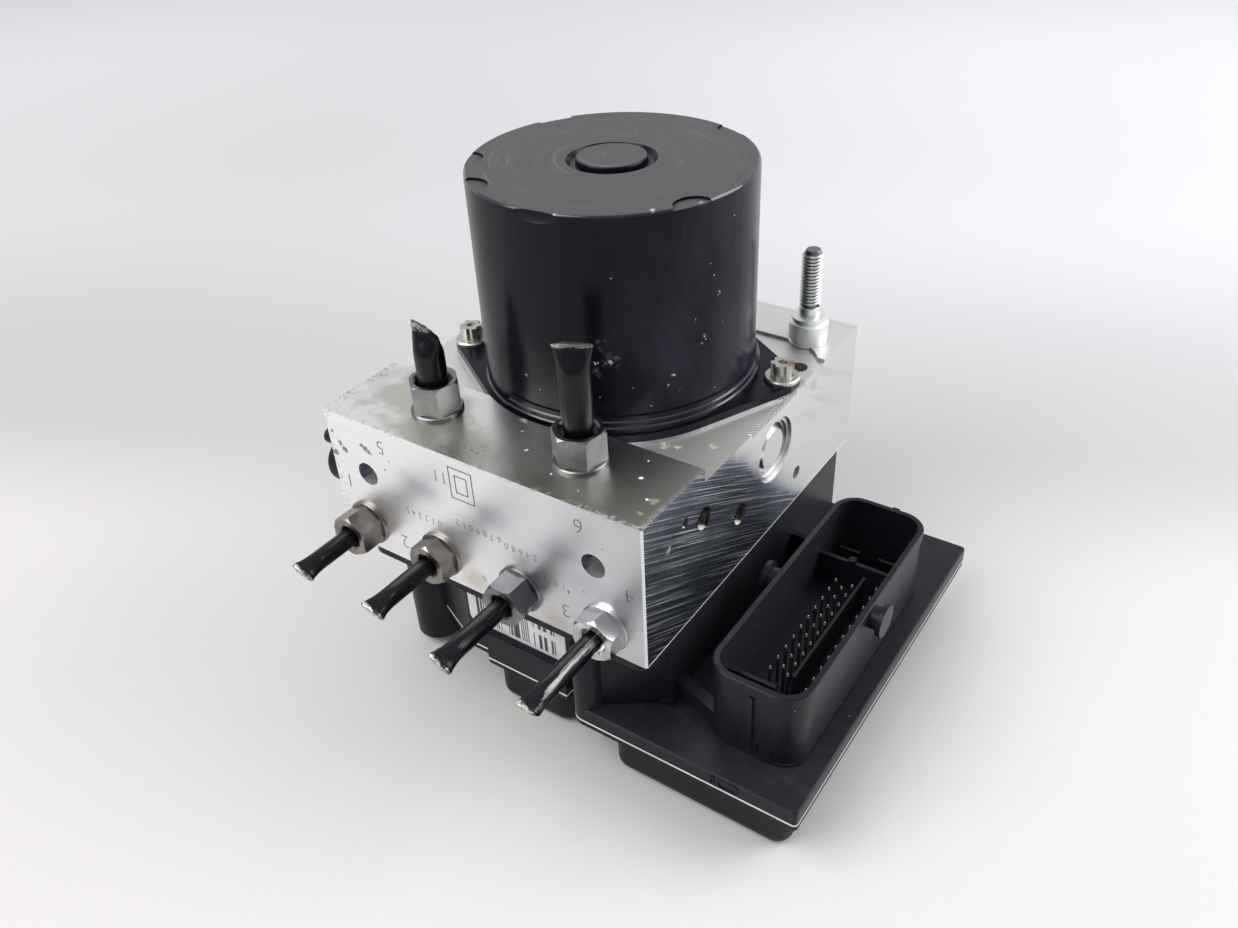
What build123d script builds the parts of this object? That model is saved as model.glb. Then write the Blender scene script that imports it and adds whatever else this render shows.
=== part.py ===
from build123d import *
import math
import os

# Anti-lock brake unit, millimetres. The unit stands on the lid of its control unit.
# Origin: where the pump motor's axis meets the plane the unit stands on. +Z is up the motor,
# -Y is the side with the wheel line ports, +X is the side with the plug connector.

# Machined block: distances from the motor axis, then heights
block_left = 52.8
block_right = 47.2
block_front = 61.9
block_back = 52.9
block_height = 42.4
ledge_depth = 27.1
rear_drop = 3.8
edge_chamfer = 0.5
pad_height = 0.9
pad_width = 44.0
pad_front = 36.4
pad_step = 6.0
pad_corner_radius = 13.0
bore_clearance = 0.05

# Control unit under the block, stacked from the floor up
lid_depth = 13.6
lid_flange = 1.4
lid_wall = 2.0
seal_thickness = 0.6
seal_width = 2.2
housing_height = 26.0
housing_wall = 2.5
top_flange = 2.8
wing_thickness = 4.2
wing_right = 89.8
wing_front = 65.1
wing_left = 24.1
wing_corner = 1.2
column_radius = 4.1
housing_back = 48.0
housing_left = 44.0
housing_right = 46.8
front_wall = 58.0
front_wall_left = 15.0
front_wall_right = 21.0
scoop_left_x = 30.1
scoop_left_y = 62.3
scoop_right_y = 51.3
cavity_step_x = 26.5
flange_inset = 0.5
flange_left_gap = 7.0
flange_corner = 4.0
wall_corner = 2.0
left_slope_y = 40.0
left_slope_x = 36.0
left_slope_front = 48.5
band_height = 9.4
band_depth = 2.5
band_left = 7.0
band_right = 20.0

# Lid bulges
bulge_left = 41.5
bulge_right = 86.4
bulge_front = 62.8
bulge_back = 38.0
bulge_step_x = 35.6
nose_left = 6.5
nose_right = 19.0
nose_front = 58.6
notch_front = 49.0
bulge_left_front = 27.0
bulge_corner = 4.4
bulge_floor_radius = 3.6

# Plug connector
plug_left = 58.6
plug_right = 84.3
plug_front = 54.6
plug_back = 25.4
plug_corner = 7.0
plug_wall = 1.3
plug_rim_height = 43.0
plug_floor = 1.2
plug_foot = 0.7
plug_foot_height = 0.6
rim_bead = 0.35
rim_bead_height = 3.0
front_rib_x = 71.2
front_rib_rise = 0.8
front_rib_gap = 3.5
rear_nub_x = 73.0
rear_nub_width = 2.0
rear_nub_height = 3.9
pin_tip_height = 34.0
pin_size = 0.64
pin_pitch = 4.26
pin_first_y = -0.4
pin_columns = ((68.6, 0.0), (71.2, 0.5), (73.4, 0.0), (79.4, -0.5))
pin_counts = (10, 9, 10, 11)
pin_point = 0.7
pin_stand = 9.0
divider_x = 75.0
divider_thickness = 0.8
divider_front_gap = 4.6
divider_back_gap = 3.7
cross_wall = 1.2
front_cross_y = -43.6
back_cross_y = 7.6
guide_post_x = 69.6
guide_post_radius = 1.1
guide_post_rise = 1.2
blade_columns = (65.5, 77.0)
blade_width = 6.0
blade_thickness = 0.8
blade_drop = 3.0
peg_neck_radius = 3.1
peg_disc_radius = 4.4
peg_reach = 2.5
peg_disc_thickness = 1.3
peg_drop = 3.6

# Ribs and the small pad on the wing between the housing and the plug
front_web_points = ((-47.5, -43.5), (-52.0, -48.8))
front_web_height = 5.0
back_web_y = 17.0
back_web_thickness = 1.8
back_web_height = 8.7
pad_points = ((43.0, -52.6), (47.6, -48.8))
wing_pad_height = 2.0
web_overlap = 1.5

# Circuit board and what stands on it
board_top = 12.6
board_thickness = 1.6
board_margin = 1.2
chip_x = 57.0
chip_rows = ((-20.0, 7.0, 2.0), (4.0, 6.0, 1.8), (20.0, 5.0, 1.6))
board_boss_radius = 1.5
board_boss_points = ((52.0, -46.0), (80.0, 30.0), (54.0, 30.0))

# Screws that hold the control unit, and their posts
post_radius = 6.8
post_foot = 2.6
unit_screw_radius = 1.95
unit_screw_head = 3.9
unit_screw_depth = 4.4
unit_screw_head_height = 3.2
post_points = ((-38.1, -48.0), (-36.5, 41.5), (39.5, 41.5))

# Pump motor
can_radius = 36.75
can_wall = 1.8
can_top_thickness = 2.2
motor_height = 55.9
can_rim_radius = 1.1
flange_thickness = 3.0
flange_lip = 2.05
flange_seat_play = 0.4
lobe_radius = 4.8
lobe_reach = 8.15
flange_screw_angle = 16.2
flange_screw_radius = 2.4
flange_screw_washer = 4.8
flange_screw_washer_height = 1.1
flange_screw_head_radius = 3.1
flange_screw_head_height = 3.8
flange_screw_depth = 8.0
foot_step = 0.45
foot_step_height = 1.5
foot_start_angle = -106.0
foot_end_angle = 44.0
nub_radius = 8.9
nub_groove = 2.6
nub_groove_depth = 1.3
nub_rise = 0.7
notch_angles = (150.0, 63.7, -122.3, -25.9, -151.8)
dent_angle = -84.0
notch_radius = 5.2
notch_depth = 0.7
magnet_thickness = 6.0
magnet_height = 30.0
magnet_arc = 70.0
air_gap = 0.6
shaft_radius = 4.0
core_height = 26.0
winding_height = 6.0
winding_lift = 12.0
commutator_radius = 10.5
commutator_lift = 3.3
bearing_radius = 7.6
bearing_height = 6.0
bearing_seal = 0.4
running_clearance = 0.04
slot_count = 12
slot_depth = 9.0
slot_width = 2.2
segment_depth = 0.7
segment_gap = 0.6

# Brush gear on the motor flange
brush_ring_height = 3.0
brush_angle = 45.0
brush_guide_width = 9.0
brush_guide_height = 11.0
brush_guide_wall = 1.4
brush_guide_end = 4.0
brush_width = 6.0
brush_height = 5.3
brush_length = 11.7
brush_lift = 3.85

# Eccentric drive and pump elements
pump_depth = 16.5
pump_y = 2.4
eccentricity = 1.3
eccentric_radius = 7.0
cam_ring_radius = 11.0
cam_ring_height = 7.0
cam_cavity_radius = 14.0
cam_cavity_depth = 7.0
pump_bore_radius = 6.6
piston_radius = 3.25
piston_length = 18.0
cylinder_inner_x = 15.5
pump_plug_radius = 7.25
pump_plug_length = 8.0
pump_plug_recess = 1.6
pump_plug_chamfer = 1.6
pump_step_radius = 8.1
pump_rim_radius = 9.3
pump_rim_depth = 0.8
piston_groove = 1.4
piston_groove_place = 4.0

# Line ports and tube nuts
wheel_port_x = (-43.1, -16.9, 9.6, 35.7)
wheel_port_drop = 34.0
wheel_port_radius = 5.0
wheel_port_depth = 9.0
master_port_points = ((-25.8, -46.7), (19.7, -46.5))
master_port_radius = 6.0
master_port_depth = 11.0
seat_cone = 2.4
wheel_nut_collar_radius = 6.7
master_nut_collar_radius = 6.9
nut_collar_height = 1.0
wheel_nut_across = 11.0
master_nut_across = 12.0
wheel_nut_heights = (8.2, 6.2, 8.2, 6.1)
master_nut_height = 9.2
nut_chamfer = 0.7
nut_end_gap = 0.5
wheel_pipe_radius = 2.6
wheel_pipe_wall = 0.95
master_pipe_radius = 3.9
master_pipe_wall = 1.1
nut_mouth_play = 0.75
nut_mouth_depth = 3.0
wheel_nut_turns = (27.0, 27.0, 1.0, 24.0)
master_nut_turns = (18.0, 20.0)
pipe_play = 0.1
wheel_pipe_reach = (25.6, 26.6, 31.4, 31.3)
wheel_pipe_end = (3.6, 3.8, 3.8, 3.2)
wheel_pipe_turn = (-28.0, -24.0, -32.0, -16.0)
wheel_pipe_slant = (6.0, 4.0, 3.0, 12.0)
master_pipe_reach = (23.4, 31.7)
master_pipe_end = (4.2, 5.0)
master_pipe_turn = (4.0, 31.0)
master_pipe_slant = (26.0, 3.0)
crush_length = 7.0
crush_half_height = 1.15
pipe_end_gap = 0.6

# Threaded holes and small features on the block's faces
front_hole_points = ((-39.9, 16.7), (33.1, 16.1))
front_hole_radius = 3.4
front_hole_depth = 12.0
rear_hole_point = (42.2, 24.6)
rear_hole_radius = 2.5
rear_hole_depth = 14.0
side_hole_y = 16.5
side_hole_drop = 32.6
side_hole_radius = 2.0
side_hole_depth = 6.0
ball_points = ((-35.1, 14.5), (-16.6, 25.5))
ball_radius = 2.9
ball_sink = 2.2
small_ball_point = (-43.9, 9.8)
small_ball_radius = 1.3
side_cap_points = ((-51.5, 24.2, 7.1, 9.0), (-55.6, 14.6, 2.25, 8.0))
side_cap_seat = 5.0

# Mounting stud
stud_point = (37.7, 39.4)
stud_top = 24.3
stud_thread_radius = 3.0
stud_shank_radius = 2.65
stud_thread_length = 19.0
stud_collar_radius = 5.6
stud_collar_height = 6.9
stud_neck_radius = 5.0
stud_neck_height = 1.7
stud_groove = 0.4
stud_seat_depth = 10.0
stud_seat_radius = 4.0

# Valves, coils, sensor and accumulators between the block and the board
valve_rows = (-31.0, -10.5, 10.0)
valve_columns = (-33.0, -11.0, 11.0, 33.0)
valve_bore_radius = 4.4
valve_bore_depth = 13.0
dome_radius = 3.2
dome_length = 21.0
coil_radius = 8.2
coil_height = 17.0
coil_lead_radius = 0.5
coil_lead_spread = 3.0
coil_lead_back = 7.0
accumulator_points = ((-20.0, 34.5), (20.0, 34.5))
accumulator_radius = 8.5
accumulator_depth = 22.0
accumulator_piston_height = 9.0
accumulator_cap_height = 3.0
accumulator_groove = 2.0
sensor_point = (0.0, 30.5)
sensor_radius = 5.0
sensor_seat_depth = 8.0
sensor_stem_radius = 2.5
lead_inset = 5.2
lead_angle = 137.7
lead_sleeve_radius = 3.4
lead_radius = 0.8
lead_spacing = 2.8

# Label on the front wall of the control unit
label_thickness = 0.2
label_left = 14.0
label_right = 19.2
label_height = 13.0
label_corner = 2.0

# Levels, from the floor
lid_top = lid_depth + lid_flange
housing_bottom = lid_top + seal_thickness
block_bottom = housing_bottom + housing_height
ledge_top = block_bottom + block_height
rear_top = ledge_top - rear_drop
wing_top = housing_bottom + wing_thickness
motor_top = ledge_top + motor_height
flange_top = rear_top + flange_thickness
pump_z = ledge_top - pump_depth
wheel_port_z = ledge_top - wheel_port_drop
board_bottom = board_top - board_thickness
ledge_edge_y = -block_front + ledge_depth
plug_floor_z = wing_top + plug_floor
can_inner = can_radius - can_wall
flange_radius = can_radius + flange_lip
flange_screw_circle = can_radius + lobe_reach
lead_x = (can_inner - lead_inset) * math.cos(math.radians(lead_angle))
lead_y = (can_inner - lead_inset) * math.sin(math.radians(lead_angle))
rotor_radius = can_inner - magnet_thickness - air_gap - bore_clearance
core_bottom = flange_top + winding_lift + winding_height
piston_tip = cam_ring_radius + eccentricity + bore_clearance
column_x = wing_left + column_radius
column_y = -wing_front + column_radius
pin_floor_z = pin_tip_height - pin_stand


# Alignments of round bodies: standing on or hanging from their own place
UPRIGHT = (Align.CENTER, Align.CENTER, Align.MIN)
HANGING = (Align.CENTER, Align.CENTER, Align.MAX)


def drum(radius, z0, z1, x=0.0, y=0.0):
    """Upright cylinder between two heights."""
    body = Cylinder(radius, z1 - z0, align=UPRIGHT)
    return Pos(x, y, z0) * body


def rod_x(radius, x0, x1, y, z):
    """Cylinder along X between two x values."""
    low = min(x0, x1)
    body = Cylinder(radius, abs(x1 - x0), align=UPRIGHT)
    return Pos(low, y, z) * Rot(0, 90, 0) * body


def rod_y(radius, y0, y1, x, z):
    """Cylinder along Y between two y values."""
    low = min(y0, y1)
    body = Cylinder(radius, abs(y1 - y0), align=UPRIGHT)
    return Pos(x, low, z) * Rot(-90, 0, 0) * body


def slab(x0, x1, y0, y1, z0, z1):
    """Box from its two corners."""
    body = Box(x1 - x0, y1 - y0, z1 - z0, align=(Align.MIN, Align.MIN, Align.MIN))
    return Pos(x0, y0, z0) * body


def prism(points, z0, z1, corner=0.0):
    """Upright prism over a closed outline, its vertical edges rounded."""
    face = make_face(Polyline(*points, close=True))
    body = Pos(0, 0, z0) * extrude(face, amount=z1 - z0, dir=(0, 0, 1))
    if corner > 0:
        body = fillet(body.edges().filter_by(Axis.Z), corner)
    return body


def turned(points):
    """Solid of revolution about Z from radius and height pairs."""
    profile = make_face(Polyline(*[(r, 0, z) for r, z in points], close=True))
    return revolve(profile, axis=Axis.Z)


def all_of(shapes):
    """One compound from several separate solids."""
    solids = []
    for shape in shapes:
        solids.extend(shape.solids())
    return Compound(solids)


def block_blank():
    """Milled aluminium block with its ledge at the front and the flat rear surface."""
    blank = slab(-block_left, block_right, -block_front, block_back, block_bottom, ledge_top)
    blank = chamfer(blank.edges().filter_by(Axis.Z), edge_chamfer)
    rear = slab(-block_left - 1, block_right + 1, ledge_edge_y, block_back + 1, rear_top, ledge_top + 1)
    blank -= rear
    motor_seat = drum(flange_radius + flange_seat_play, rear_top, ledge_top + 1)
    return blank - motor_seat


def stud_pad():
    """Slightly raised corner that the mounting stud stands on."""
    left = block_right - pad_width
    pad = slab(left, block_right, pad_front, block_back, rear_top - 1.0, rear_top + pad_height)
    pad += slab(block_right - pad_corner_radius, block_right, pad_front - pad_step, pad_front + 1.0,
                rear_top - 1.0, rear_top + pad_height)
    scoop = drum(pad_corner_radius, rear_top, rear_top + pad_height + 1,
                 block_right - pad_corner_radius, pad_front - pad_corner_radius)
    pad -= scoop
    motor_room = drum(flange_radius + flange_seat_play, rear_top, rear_top + pad_height + 1)
    return pad - motor_room


def valve_block():
    body = block_blank()
    body += stud_pad()
    # Crank chamber under the motor and the two pump bores that meet it
    body -= drum(cam_cavity_radius, pump_z - cam_cavity_depth, rear_top + 1)
    for side in (1, -1):
        body -= pump_bore(side)
    # Line ports with their conical seats
    for x in wheel_port_x:
        body -= front_port(x)
    for x, y in master_port_points:
        body -= top_port(x, y)
    # Threaded holes
    bottom_y = -block_front + front_hole_depth
    for x, drop in front_hole_points:
        body -= rod_y(front_hole_radius, -block_front - 1, bottom_y, x, ledge_top - drop)
    x, y = rear_hole_point
    body -= drum(rear_hole_radius, rear_top - rear_hole_depth, ledge_top, x, y)
    body -= rod_x(side_hole_radius, block_right - side_hole_depth, block_right + 1, side_hole_y,
                  ledge_top - side_hole_drop)
    # Seats of the balls that close the drillings, and of the side caps
    for y, drop in ball_points:
        body -= rod_x(ball_radius + bore_clearance, block_right - 2 * ball_radius - ball_sink,
                      block_right + 1, y, ledge_top - drop)
    y, drop = small_ball_point
    body -= rod_x(small_ball_radius + bore_clearance, block_right - 4 * small_ball_radius,
                  block_right + 1, y, ledge_top - drop)
    for y, drop, radius, rise in side_cap_points:
        body -= rod_x(radius - 1.0 + bore_clearance, -block_left - 1, -block_left + side_cap_seat, y,
                      ledge_top - drop)
    # Stud and flange screws
    x, y = stud_point
    body -= drum(stud_seat_radius + bore_clearance, rear_top - stud_seat_depth, ledge_top, x, y)
    for x, y in flange_screw_points():
        body -= drum(flange_screw_radius + bore_clearance, rear_top - flange_screw_depth, ledge_top, x, y)
    # Underside: valves, accumulators, sensor, control unit screws, motor leads
    low = block_bottom - 1
    for x, y in valve_points():
        body -= drum(valve_bore_radius + bore_clearance, low, block_bottom + valve_bore_depth, x, y)
    for x, y in accumulator_points:
        body -= drum(accumulator_radius, low, block_bottom + accumulator_depth, x, y)
    x, y = sensor_point
    body -= drum(sensor_radius + bore_clearance, low, block_bottom + sensor_seat_depth, x, y)
    for x, y in post_points:
        body -= drum(unit_screw_radius + bore_clearance, low, block_bottom + unit_screw_depth, x, y)
    body -= drum(lead_sleeve_radius + bore_clearance, low, ledge_top, lead_x, lead_y)
    return body


def pump_bore(side):
    """Bore of one pump element, stepped wider at the block's side where its plug is pressed in."""
    face = face_x(side)
    steps = ((pump_bore_radius + bore_clearance, face),
             (pump_plug_radius + bore_clearance, pump_plug_length + pump_plug_recess),
             (pump_step_radius, pump_plug_recess), (pump_rim_radius, pump_rim_depth))
    bore = rod_x(steps[0][0], 0, face + side, pump_y, pump_z)
    for radius, depth in steps[1:]:
        bore += rod_x(radius, face - side * depth, face + side, pump_y, pump_z)
    return bore


def front_port(x):
    """Wheel line port: threaded bore with a conical seat and the drilling behind it."""
    bore = rod_y(wheel_port_radius + bore_clearance, -block_front - 1, -block_front + wheel_port_depth,
                 x, wheel_port_z)
    cone = Cone(wheel_port_radius, wheel_pipe_radius, seat_cone, align=UPRIGHT)
    cone = Pos(x, -block_front + wheel_port_depth, wheel_port_z) * Rot(-90, 0, 0) * cone
    return bore + cone


def top_port(x, y):
    """Master cylinder line port in the ledge."""
    bore = drum(master_port_radius + bore_clearance, ledge_top - master_port_depth, ledge_top + 1, x, y)
    cone = Cone(master_pipe_radius, master_port_radius, seat_cone, align=UPRIGHT)
    return bore + Pos(x, y, ledge_top - master_port_depth - seat_cone) * cone


def flange_screw_points():
    angle = math.radians(flange_screw_angle)
    x = flange_screw_circle * math.cos(angle)
    y = flange_screw_circle * math.sin(angle)
    return ((x, y), (-x, -y))


def valve_points():
    return [(x, y) for y in valve_rows for x in valve_columns]


def tube_nut(across, collar_radius, height, thread_radius, thread_length, pipe_radius):
    """Tube nut along +Z: thread below zero, round collar on the face, chamfered hexagon above."""
    hex_height = height - nut_collar_height
    hexagon = extrude(RegularPolygon(across / 2, 6, major_radius=False), amount=hex_height)
    corner = across / 2 / math.cos(math.pi / 6)
    crown = Cone(corner + hex_height, corner - nut_chamfer, hex_height + nut_chamfer, align=HANGING)
    crown = Pos(0, 0, hex_height) * crown
    hexagon = Pos(0, 0, nut_collar_height) * (hexagon & crown)
    collar = drum(collar_radius, 0, nut_collar_height)
    collar = chamfer(collar.edges().sort_by(Axis.Z)[-1], 0.3)
    thread = drum(thread_radius, -thread_length, 0)
    bore = drum(pipe_radius + pipe_play, -thread_length - 1, height + 1)
    mouth = drum(pipe_radius + nut_mouth_play, height - nut_mouth_depth, height + 1)
    lead_in = Cone(pipe_radius + nut_mouth_play, pipe_radius + nut_mouth_play + 0.5, 0.5,
                   align=HANGING)
    return collar + hexagon + thread - bore - mouth - Pos(0, 0, height) * lead_in


def crushed_pipe(radius, wall, inside, reach, wide, skew):
    """Pipe stub along +Z, cut off with pliers: its free end is pinched flat and flares out."""
    start = reach - crush_length
    straight = drum(radius, -inside, start)
    round_face = Pos(0, 0, start) * make_face(Circle(radius).edge())
    half = crush_half_height
    mid = Pos(0, 0, start + crush_length * 0.55) * make_face(Ellipse(radius * 1.05, radius * 0.72).edge())
    tip = Pos(0, 0, reach) * Rot(0, skew, 0) * make_face(Ellipse(wide, half).edge())
    tail = loft([round_face.face(), mid.face(), tip.face()])
    bore = drum(radius - wall, -inside - 1, start)
    return straight - bore + tail


def on_front(shape, x):
    """Stands a piece built along +Z on the wheel port at x, pointing out of the front face."""
    return Pos(x, -block_front, wheel_port_z) * Rot(90, 0, 0) * shape


def wheel_nuts():
    nuts = []
    for x, turn, height in zip(wheel_port_x, wheel_nut_turns, wheel_nut_heights):
        nut = tube_nut(wheel_nut_across, wheel_nut_collar_radius, height, wheel_port_radius,
                       wheel_port_depth - nut_end_gap, wheel_pipe_radius)
        nuts.append(on_front(Rot(0, 0, turn) * nut, x))
    return all_of(nuts)


def master_nuts():
    nuts = []
    for (x, y), turn in zip(master_port_points, master_nut_turns):
        nut = tube_nut(master_nut_across, master_nut_collar_radius, master_nut_height, master_port_radius,
                       master_port_depth - nut_end_gap, master_pipe_radius)
        nuts.append(Pos(x, y, ledge_top) * Rot(0, 0, turn) * nut)
    return all_of(nuts)


def wheel_pipe(index):
    pipe = crushed_pipe(wheel_pipe_radius, wheel_pipe_wall, wheel_port_depth - pipe_end_gap,
                        wheel_pipe_reach[index], wheel_pipe_end[index], wheel_pipe_slant[index])
    return on_front(Rot(0, 0, wheel_pipe_turn[index]) * pipe, wheel_port_x[index])


def master_pipe(index):
    x, y = master_port_points[index]
    pipe = crushed_pipe(master_pipe_radius, master_pipe_wall, master_port_depth - pipe_end_gap,
                        master_pipe_reach[index], master_pipe_end[index], master_pipe_slant[index])
    return Pos(x, y, ledge_top) * Rot(0, 0, master_pipe_turn[index]) * pipe


def motor_can():
    """Deep-drawn can with a stepped foot, a raised bearing cup and stamped rim notches."""
    outline = [
        (can_inner, flange_top),
        (can_radius + foot_step, flange_top),
        (can_radius, flange_top + foot_step),
        (can_radius, motor_top),
        (nub_radius + nub_groove, motor_top),
        (nub_radius + nub_groove * 0.6, motor_top - nub_groove_depth),
        (nub_radius + 0.3, motor_top - nub_groove_depth),
        (nub_radius, motor_top + nub_rise),
        (0, motor_top + nub_rise),
        (0, motor_top + nub_rise - can_top_thickness),
        (bearing_radius + bore_clearance, motor_top + nub_rise - can_top_thickness),
        (bearing_radius + bore_clearance, top_bearing_z() + 1.0),
        (bearing_radius + can_wall, top_bearing_z() + 1.0),
        (bearing_radius + can_wall, motor_top - nub_groove_depth - can_top_thickness),
        (can_inner, motor_top - nub_groove_depth - can_top_thickness),
    ]
    body = turned(outline) + foot_rings()
    rim = body.edges().filter_by(GeomType.CIRCLE).filter_by(lambda e: abs(e.radius - can_radius) < 0.01)
    body = fillet(rim.sort_by(Axis.Z)[-1], can_rim_radius)
    nub = body.edges().filter_by(GeomType.CIRCLE).filter_by(lambda e: abs(e.radius - nub_radius) < 0.01)
    body = fillet(nub.sort_by(Axis.Z)[-1], 0.6)
    for angle in notch_angles:
        stamp = drum(notch_radius, motor_top - notch_depth, motor_top + 2, can_radius + 0.8, 0)
        body -= Rot(0, 0, angle) * stamp
    dent = Pos(can_radius + notch_radius - 0.6, 0, motor_top - 0.4) * Rot(90, 0, 0)
    dent = dent * Cylinder(notch_radius, 12.0)
    dent &= Pos(can_radius, 0, motor_top) * Sphere(5.6)
    return body - Rot(0, 0, dent_angle) * dent


def foot_rings():
    """Three stepped rings that are rolled into the can's foot over part of its round."""
    step = foot_step
    rise = foot_step_height
    base = flange_top
    rings = turned([
        (can_inner + 0.5, base),
        (can_radius + 3 * step, base),
        (can_radius + 3 * step, base + rise),
        (can_radius + 2 * step, base + rise + 0.3),
        (can_radius + 2 * step, base + 2 * rise),
        (can_radius + step, base + 2 * rise + 0.3),
        (can_radius + step, base + 3 * rise),
        (can_inner + 0.5, base + 3 * rise + 0.3),
    ])
    far = can_radius * 2
    points = [(0, 0)]
    for share in range(5):
        angle = math.radians(foot_start_angle + (foot_end_angle - foot_start_angle) * share / 4)
        points.append((far * math.cos(angle), far * math.sin(angle)))
    return rings & prism(points, base - 1, base + 4 * rise)


def motor_flange():
    """Plate between motor and block: a disc with two screw lobes, joined by straight tangents."""
    face = make_face(Circle(flange_radius).edge())
    for x, y in flange_screw_points():
        lobe = Pos(x, y) * Circle(lobe_radius)
        face += lobe
        web = lobe_web(x, y)
        face += web
    body = Pos(0, 0, rear_top) * extrude(face, amount=flange_thickness, dir=(0, 0, 1))
    body &= slab(-block_left, block_right, -block_front, block_back, rear_top, flange_top)
    body -= drum(bearing_radius + bore_clearance, rear_top - 1, flange_top + 1)
    for x, y in flange_screw_points():
        body -= drum(flange_screw_radius + bore_clearance, rear_top - 1, flange_top + 1, x, y)
    return body - drum(lead_sleeve_radius + bore_clearance, rear_top - 1, flange_top + 1, lead_x, lead_y)


def lobe_web(x, y):
    """Outline between the disc and one lobe, along the two common tangents."""
    distance = math.hypot(x, y)
    heading = math.atan2(y, x)
    spread = math.acos((flange_radius - lobe_radius) / distance)
    points = []
    for side in (1, -1):
        angle = heading + side * spread
        big = (flange_radius * math.cos(angle), flange_radius * math.sin(angle))
        small = (x + lobe_radius * math.cos(angle), y + lobe_radius * math.sin(angle))
        points.append((big, small))
    (a, b), (c, d) = points
    return make_face(Polyline(a, b, d, c, close=True))


def flange_screws():
    """Pan washer screws with six-lobed heads."""
    screws = []
    for x, y in flange_screw_points():
        shank = drum(flange_screw_radius, rear_top - flange_screw_depth + 0.5, flange_top)
        washer = drum(flange_screw_washer, flange_top, flange_top + flange_screw_washer_height)
        washer = chamfer(washer.edges().sort_by(Axis.Z)[-1], 0.35)
        top = flange_top + flange_screw_washer_height + flange_screw_head_height
        head = drum(flange_screw_head_radius, flange_top, top)
        for index in range(6):
            groove = drum(0.95, flange_top + 1.3, top + 1, flange_screw_head_radius + 0.25, 0)
            head -= Rot(0, 0, 60 * index) * groove
        head -= drum(1.2, top - 0.8, top + 1)
        screws.append(Pos(x, y, 0) * (shank + washer + head))
    return all_of(screws)


def motor_magnets():
    """Four curved magnets against the can's wall."""
    outer = can_inner - bore_clearance
    low = core_bottom - 2.0
    ring = drum(outer, low, low + magnet_height)
    ring -= drum(outer - magnet_thickness, low - 1, low + magnet_height + 1)
    half = math.radians(magnet_arc / 2)
    far = outer * 1.5
    wedge = prism([(0, 0), (far * math.cos(half), -far * math.sin(half)),
                   (far * math.cos(half), far * math.sin(half))], low, low + magnet_height)
    magnet = ring & wedge
    return all_of([Rot(0, 0, 90 * index + 45) * magnet for index in range(4)])


def bearing(z0):
    """Ball bearing drawn as its two rings and the seal between them."""
    inner = shaft_radius + running_clearance
    body = drum(bearing_radius, z0, z0 + bearing_height) - drum(inner, z0 - 1, z0 + bearing_height + 1)
    seal_z = z0 + bearing_height - bearing_seal
    groove = drum(bearing_radius - 1.5, seal_z, z0 + bearing_height + 1)
    groove -= drum(inner + 1.3, z0, z0 + bearing_height + 2)
    return body - groove


def top_bearing_z():
    return motor_top + nub_rise - can_top_thickness - bearing_height - 0.1


def brush_holder():
    """Moulded ring on the flange that carries the brushes and the motor leads."""
    low = flange_top
    body = drum(can_inner - bore_clearance, low, low + brush_ring_height)
    body -= drum(bearing_radius + bore_clearance, low - 1, low + brush_ring_height + 1)
    half = brush_guide_width / 2
    room = brush_width / 2 + bore_clearance
    start = commutator_radius + 1.0
    end = can_inner - brush_guide_end
    for side in (0, 180):
        guide = slab(start, end, -half, half, low + 2.0, low + brush_guide_height)
        channel = slab(start - 1, end - brush_guide_wall, -room, room, low + brush_lift - bore_clearance,
                       low + brush_lift + brush_height + bore_clearance)
        body += Rot(0, 0, side + brush_angle) * (guide - channel)
    return body - drum(lead_sleeve_radius + bore_clearance, low - 1, low + brush_ring_height + 1, lead_x,
                       lead_y)


def brushes():
    low = flange_top + brush_lift
    half = brush_width / 2
    start = commutator_radius + 0.3
    blocks = []
    for side in (0, 180):
        brush = slab(start, start + brush_length, -half, half, low, low + brush_height)
        brush -= drum(start, low - 1, low + brush_height + 1)
        blocks.append(Rot(0, 0, side + brush_angle) * brush)
    return all_of(blocks)


def motor_leads():
    """Two contact blades from the brush holder down to the circuit board."""
    low = board_top
    blades = []
    for side in (-1, 1):
        blade = drum(lead_radius, low, flange_top + 5.0, lead_x + side * lead_spacing / 2, lead_y)
        blades.append(blade)
    return all_of(blades)


def lead_sleeve():
    """Insulating sleeve of the motor leads through the block."""
    body = drum(lead_sleeve_radius, board_top + 3.0, flange_top + 3.0, lead_x, lead_y)
    for side in (-1, 1):
        x = lead_x + side * lead_spacing / 2
        body -= drum(lead_radius + bore_clearance, board_top, flange_top + 4.0, x, lead_y)
    return body


def rotor_shaft():
    """Motor shaft with the eccentric that drives both pump pistons at its lower end."""
    top = top_bearing_z() + bearing_height - 0.3
    body = drum(shaft_radius, pump_z - cam_ring_height / 2 - 1.0, top)
    cam = drum(eccentric_radius, pump_z - cam_ring_height / 2, pump_z + cam_ring_height / 2, 0, eccentricity)
    return body + cam


def rotor_core():
    """Laminated core with open slots for the winding."""
    low = core_bottom
    body = drum(rotor_radius, low, low + core_height)
    body -= drum(shaft_radius, low - 1, low + core_height + 1)
    half = slot_width / 2
    for index in range(slot_count):
        slot = slab(rotor_radius - slot_depth, rotor_radius + 1, -half, half, low - 1, low + core_height + 1)
        body -= Rot(0, 0, 360 / slot_count * index) * slot
    return body


def rotor_windings():
    """Coil heads above and below the core, as rounded rings."""
    low = core_bottom
    heads = []
    for z0 in (low - winding_height, low + core_height):
        head = drum(rotor_radius - 2.0, z0, z0 + winding_height)
        head -= drum(commutator_radius + 1.0, z0 - 1, z0 + winding_height + 1)
        head = fillet(head.edges().filter_by(GeomType.CIRCLE), 1.6)
        heads.append(head)
    return all_of(heads)


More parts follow.
